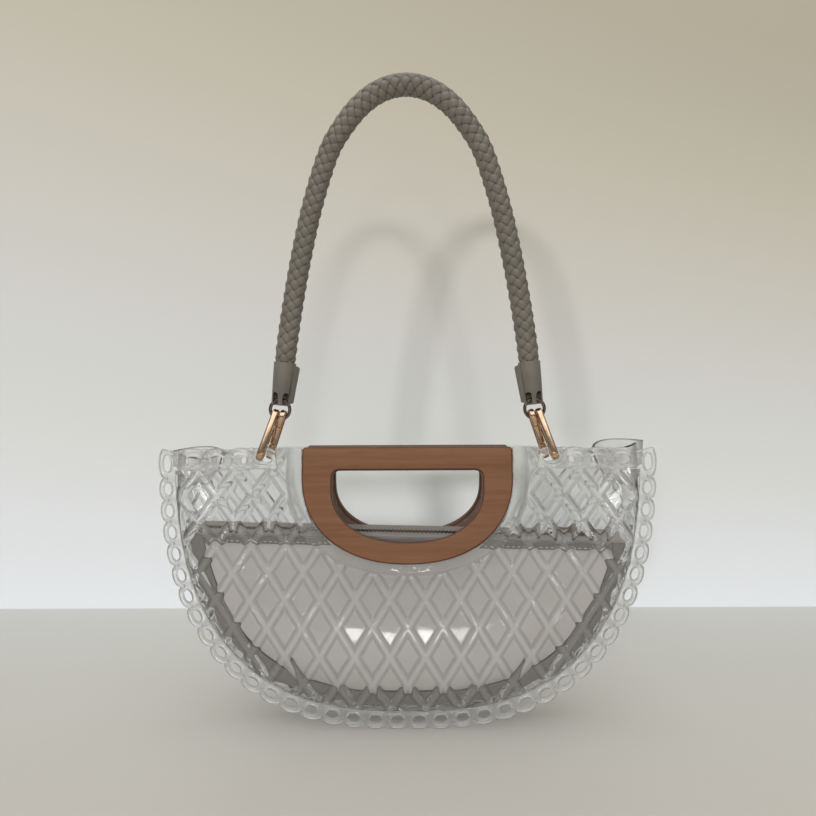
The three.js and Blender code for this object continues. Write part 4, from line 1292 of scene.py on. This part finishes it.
def wall_with_painted_shade():
    """Pale wall paint with painted shade: darker and warmer towards the top, more so on the right, where less
    light falls. It is open from its back.
    """
    material, tree, shader, output = new_material("pale_wall_with_painted_shade")
    place = add(tree, "ShaderNodeTexCoord")
    apart = add(tree, "ShaderNodeSeparateXYZ", {"Vector": place.outputs["Object"]})
    aside = add(tree, "ShaderNodeMath", {0: apart.outputs["X"], 1: 0.5, 2: 1}, operation="MULTIPLY_ADD")
    height = add(tree, "ShaderNodeMath", {0: apart.outputs["Z"], 1: aside.outputs[0]}, operation="MULTIPLY")
    share = add(tree, "ShaderNodeMapRange", {"Value": height.outputs[0], "From Max": 0.7})
    tone = add(tree, "ShaderNodeValToRGB", {"Fac": share.outputs["Result"]})
    tone.color_ramp.elements.remove(tone.color_ramp.elements[1])
    # Painted shade: the stops darken and warm the wall upwards and to the right
    for stop, colour in (
            (0, "#e7eaee"), (0.1, "#e1e3e6"), (0.21, "#d9dbd8"), (0.32, "#d4d5d2"), (0.43, "#cfcdc8"),
            (0.57, "#c7c4b9"), (0.71, "#c0baab"), (0.84, "#b7b1a2"), (0.97, "#b2ab98")):
        mark = tone.color_ramp.elements.new(stop) if stop else tone.color_ramp.elements[0]
        mark.color = linear(colour)
    set_inputs(tree, shader, {"Base Color": tone.outputs["Color"], "Roughness": 0.8})
    side = add(tree, "ShaderNodeNewGeometry")
    open_back = add(tree, "ShaderNodeBsdfTransparent")
    mix = add(tree, "ShaderNodeMixShader", {
        0: side.outputs["Backfacing"], 1: shader.outputs["BSDF"], 2: open_back.outputs["BSDF"]})
    set_inputs(tree, output, {"Surface": mix.outputs["Shader"]})
    return material


def flat_plane(name, matrix, size, material):
    """A plane for the stage."""
    bm = bmesh.new()
    bmesh.ops.create_grid(bm, x_segments=1, y_segments=1, size=size, matrix=matrix)
    plane = mesh_object(name, bm)
    plane.data.materials.append(material)


# Stage, in metres: half the table's width, and the wall's half width, place behind the bag and middle height
TABLE_HALF = 2.5
WALL_HALF = 0.7
WALL_BEHIND = 0.285
WALL_MIDDLE = 0.35


def stage():
    """A pale table with a pale wall close behind it."""
    flat_plane("table", Matrix.Identity(4), TABLE_HALF, table_with_painted_shade())
    standing = Matrix.Translation((0, WALL_BEHIND, WALL_MIDDLE)) @ Matrix.Rotation(math.pi / 2, 4, "X")
    flat_plane("wall", standing, WALL_HALF, wall_with_painted_shade())


def area_light(name, place, target, size, power, mirrored=True):
    """A white rectangular light aimed at a point."""
    data = bpy.data.lights.new(name, "AREA")
    data.shape = "RECTANGLE"
    data.size, data.size_y = size
    data.energy = power
    light = bpy.data.objects.new(name, data)
    light.location = place
    light.rotation_euler = (Vector(target) - Vector(place)).to_track_quat("-Z", "Y").to_euler()
    # A reflection inside the plastic leaves it as passed light
    light.visible_glossy = light.visible_transmission = mirrored
    bpy.context.scene.collection.objects.link(light)


def lights():
    """Far windows in front, to the left and the right, the one that the panes mirror, and a pale ceiling."""
    area_light("window_left", (-2.6, -8.7, 1.42), (0, 0, 0.3), (1, 0.5), 240, mirrored=False)
    area_light("window_right", (0.78, -9.07, 1.6), (0, 0, 0.3), (1, 0.5), 142, mirrored=False)
    area_light("window_mirrored", (0, -9.08, 0.2), (0, 0, 0.1), (0.7, 0.7), 20)
    area_light("ceiling", (0, -0.9, 1.9), (0, -0.9, 0), (2.4, 3.8), 44)
    world = bpy.data.worlds.new("room")
    world.use_nodes = True
    tree = world.node_tree
    set_inputs(tree, tree.nodes["Background"], {"Color": linear("#bbb9b4"), "Strength": 0.36})
    bpy.context.scene.world = world
    bpy.context.scene.view_settings.view_transform = "Standard"


CAMERA_PLACE = (4.1, -544.0, 212.1)
CAMERA_YAW = math.radians(0.371)
CAMERA_PITCH = math.radians(0.604)
CAMERA_ROLL = math.radians(-0.257)


def camera():
    """The photograph's viewpoint: level with the top of the bag and close to it."""
    data = bpy.data.cameras.new("camera")
    data.sensor_width = data.lens = 36
    data.clip_start = 0.01
    view = bpy.data.objects.new("camera", data)
    aim = (Matrix.Rotation(CAMERA_YAW, 4, "Z") @ Matrix.Rotation(math.pi / 2 - CAMERA_PITCH, 4, "X")
           @ Matrix.Rotation(CAMERA_ROLL, 4, "Z"))
    view.matrix_world = Matrix.Translation(Vector(CAMERA_PLACE) * MM) @ aim
    bpy.context.scene.collection.objects.link(view)
    bpy.context.scene.camera = view


def bounces():
    """Enough bounces for light to pass through both shells."""
    cycles = bpy.context.scene.cycles
    cycles.max_bounces = 20
    cycles.transmission_bounces = 20
    cycles.transparent_max_bounces = 24
    cycles.glossy_bounces = 6
    cycles.caustics_reflective = False


camera()
stage()
lights()
bounces()
shells()
gusset()
handles()
strap()
sleeves_and_rings()
hooks()
pouch_panels()
pouch_edge()
zip_tape()
zip_teeth()
zip_slider()
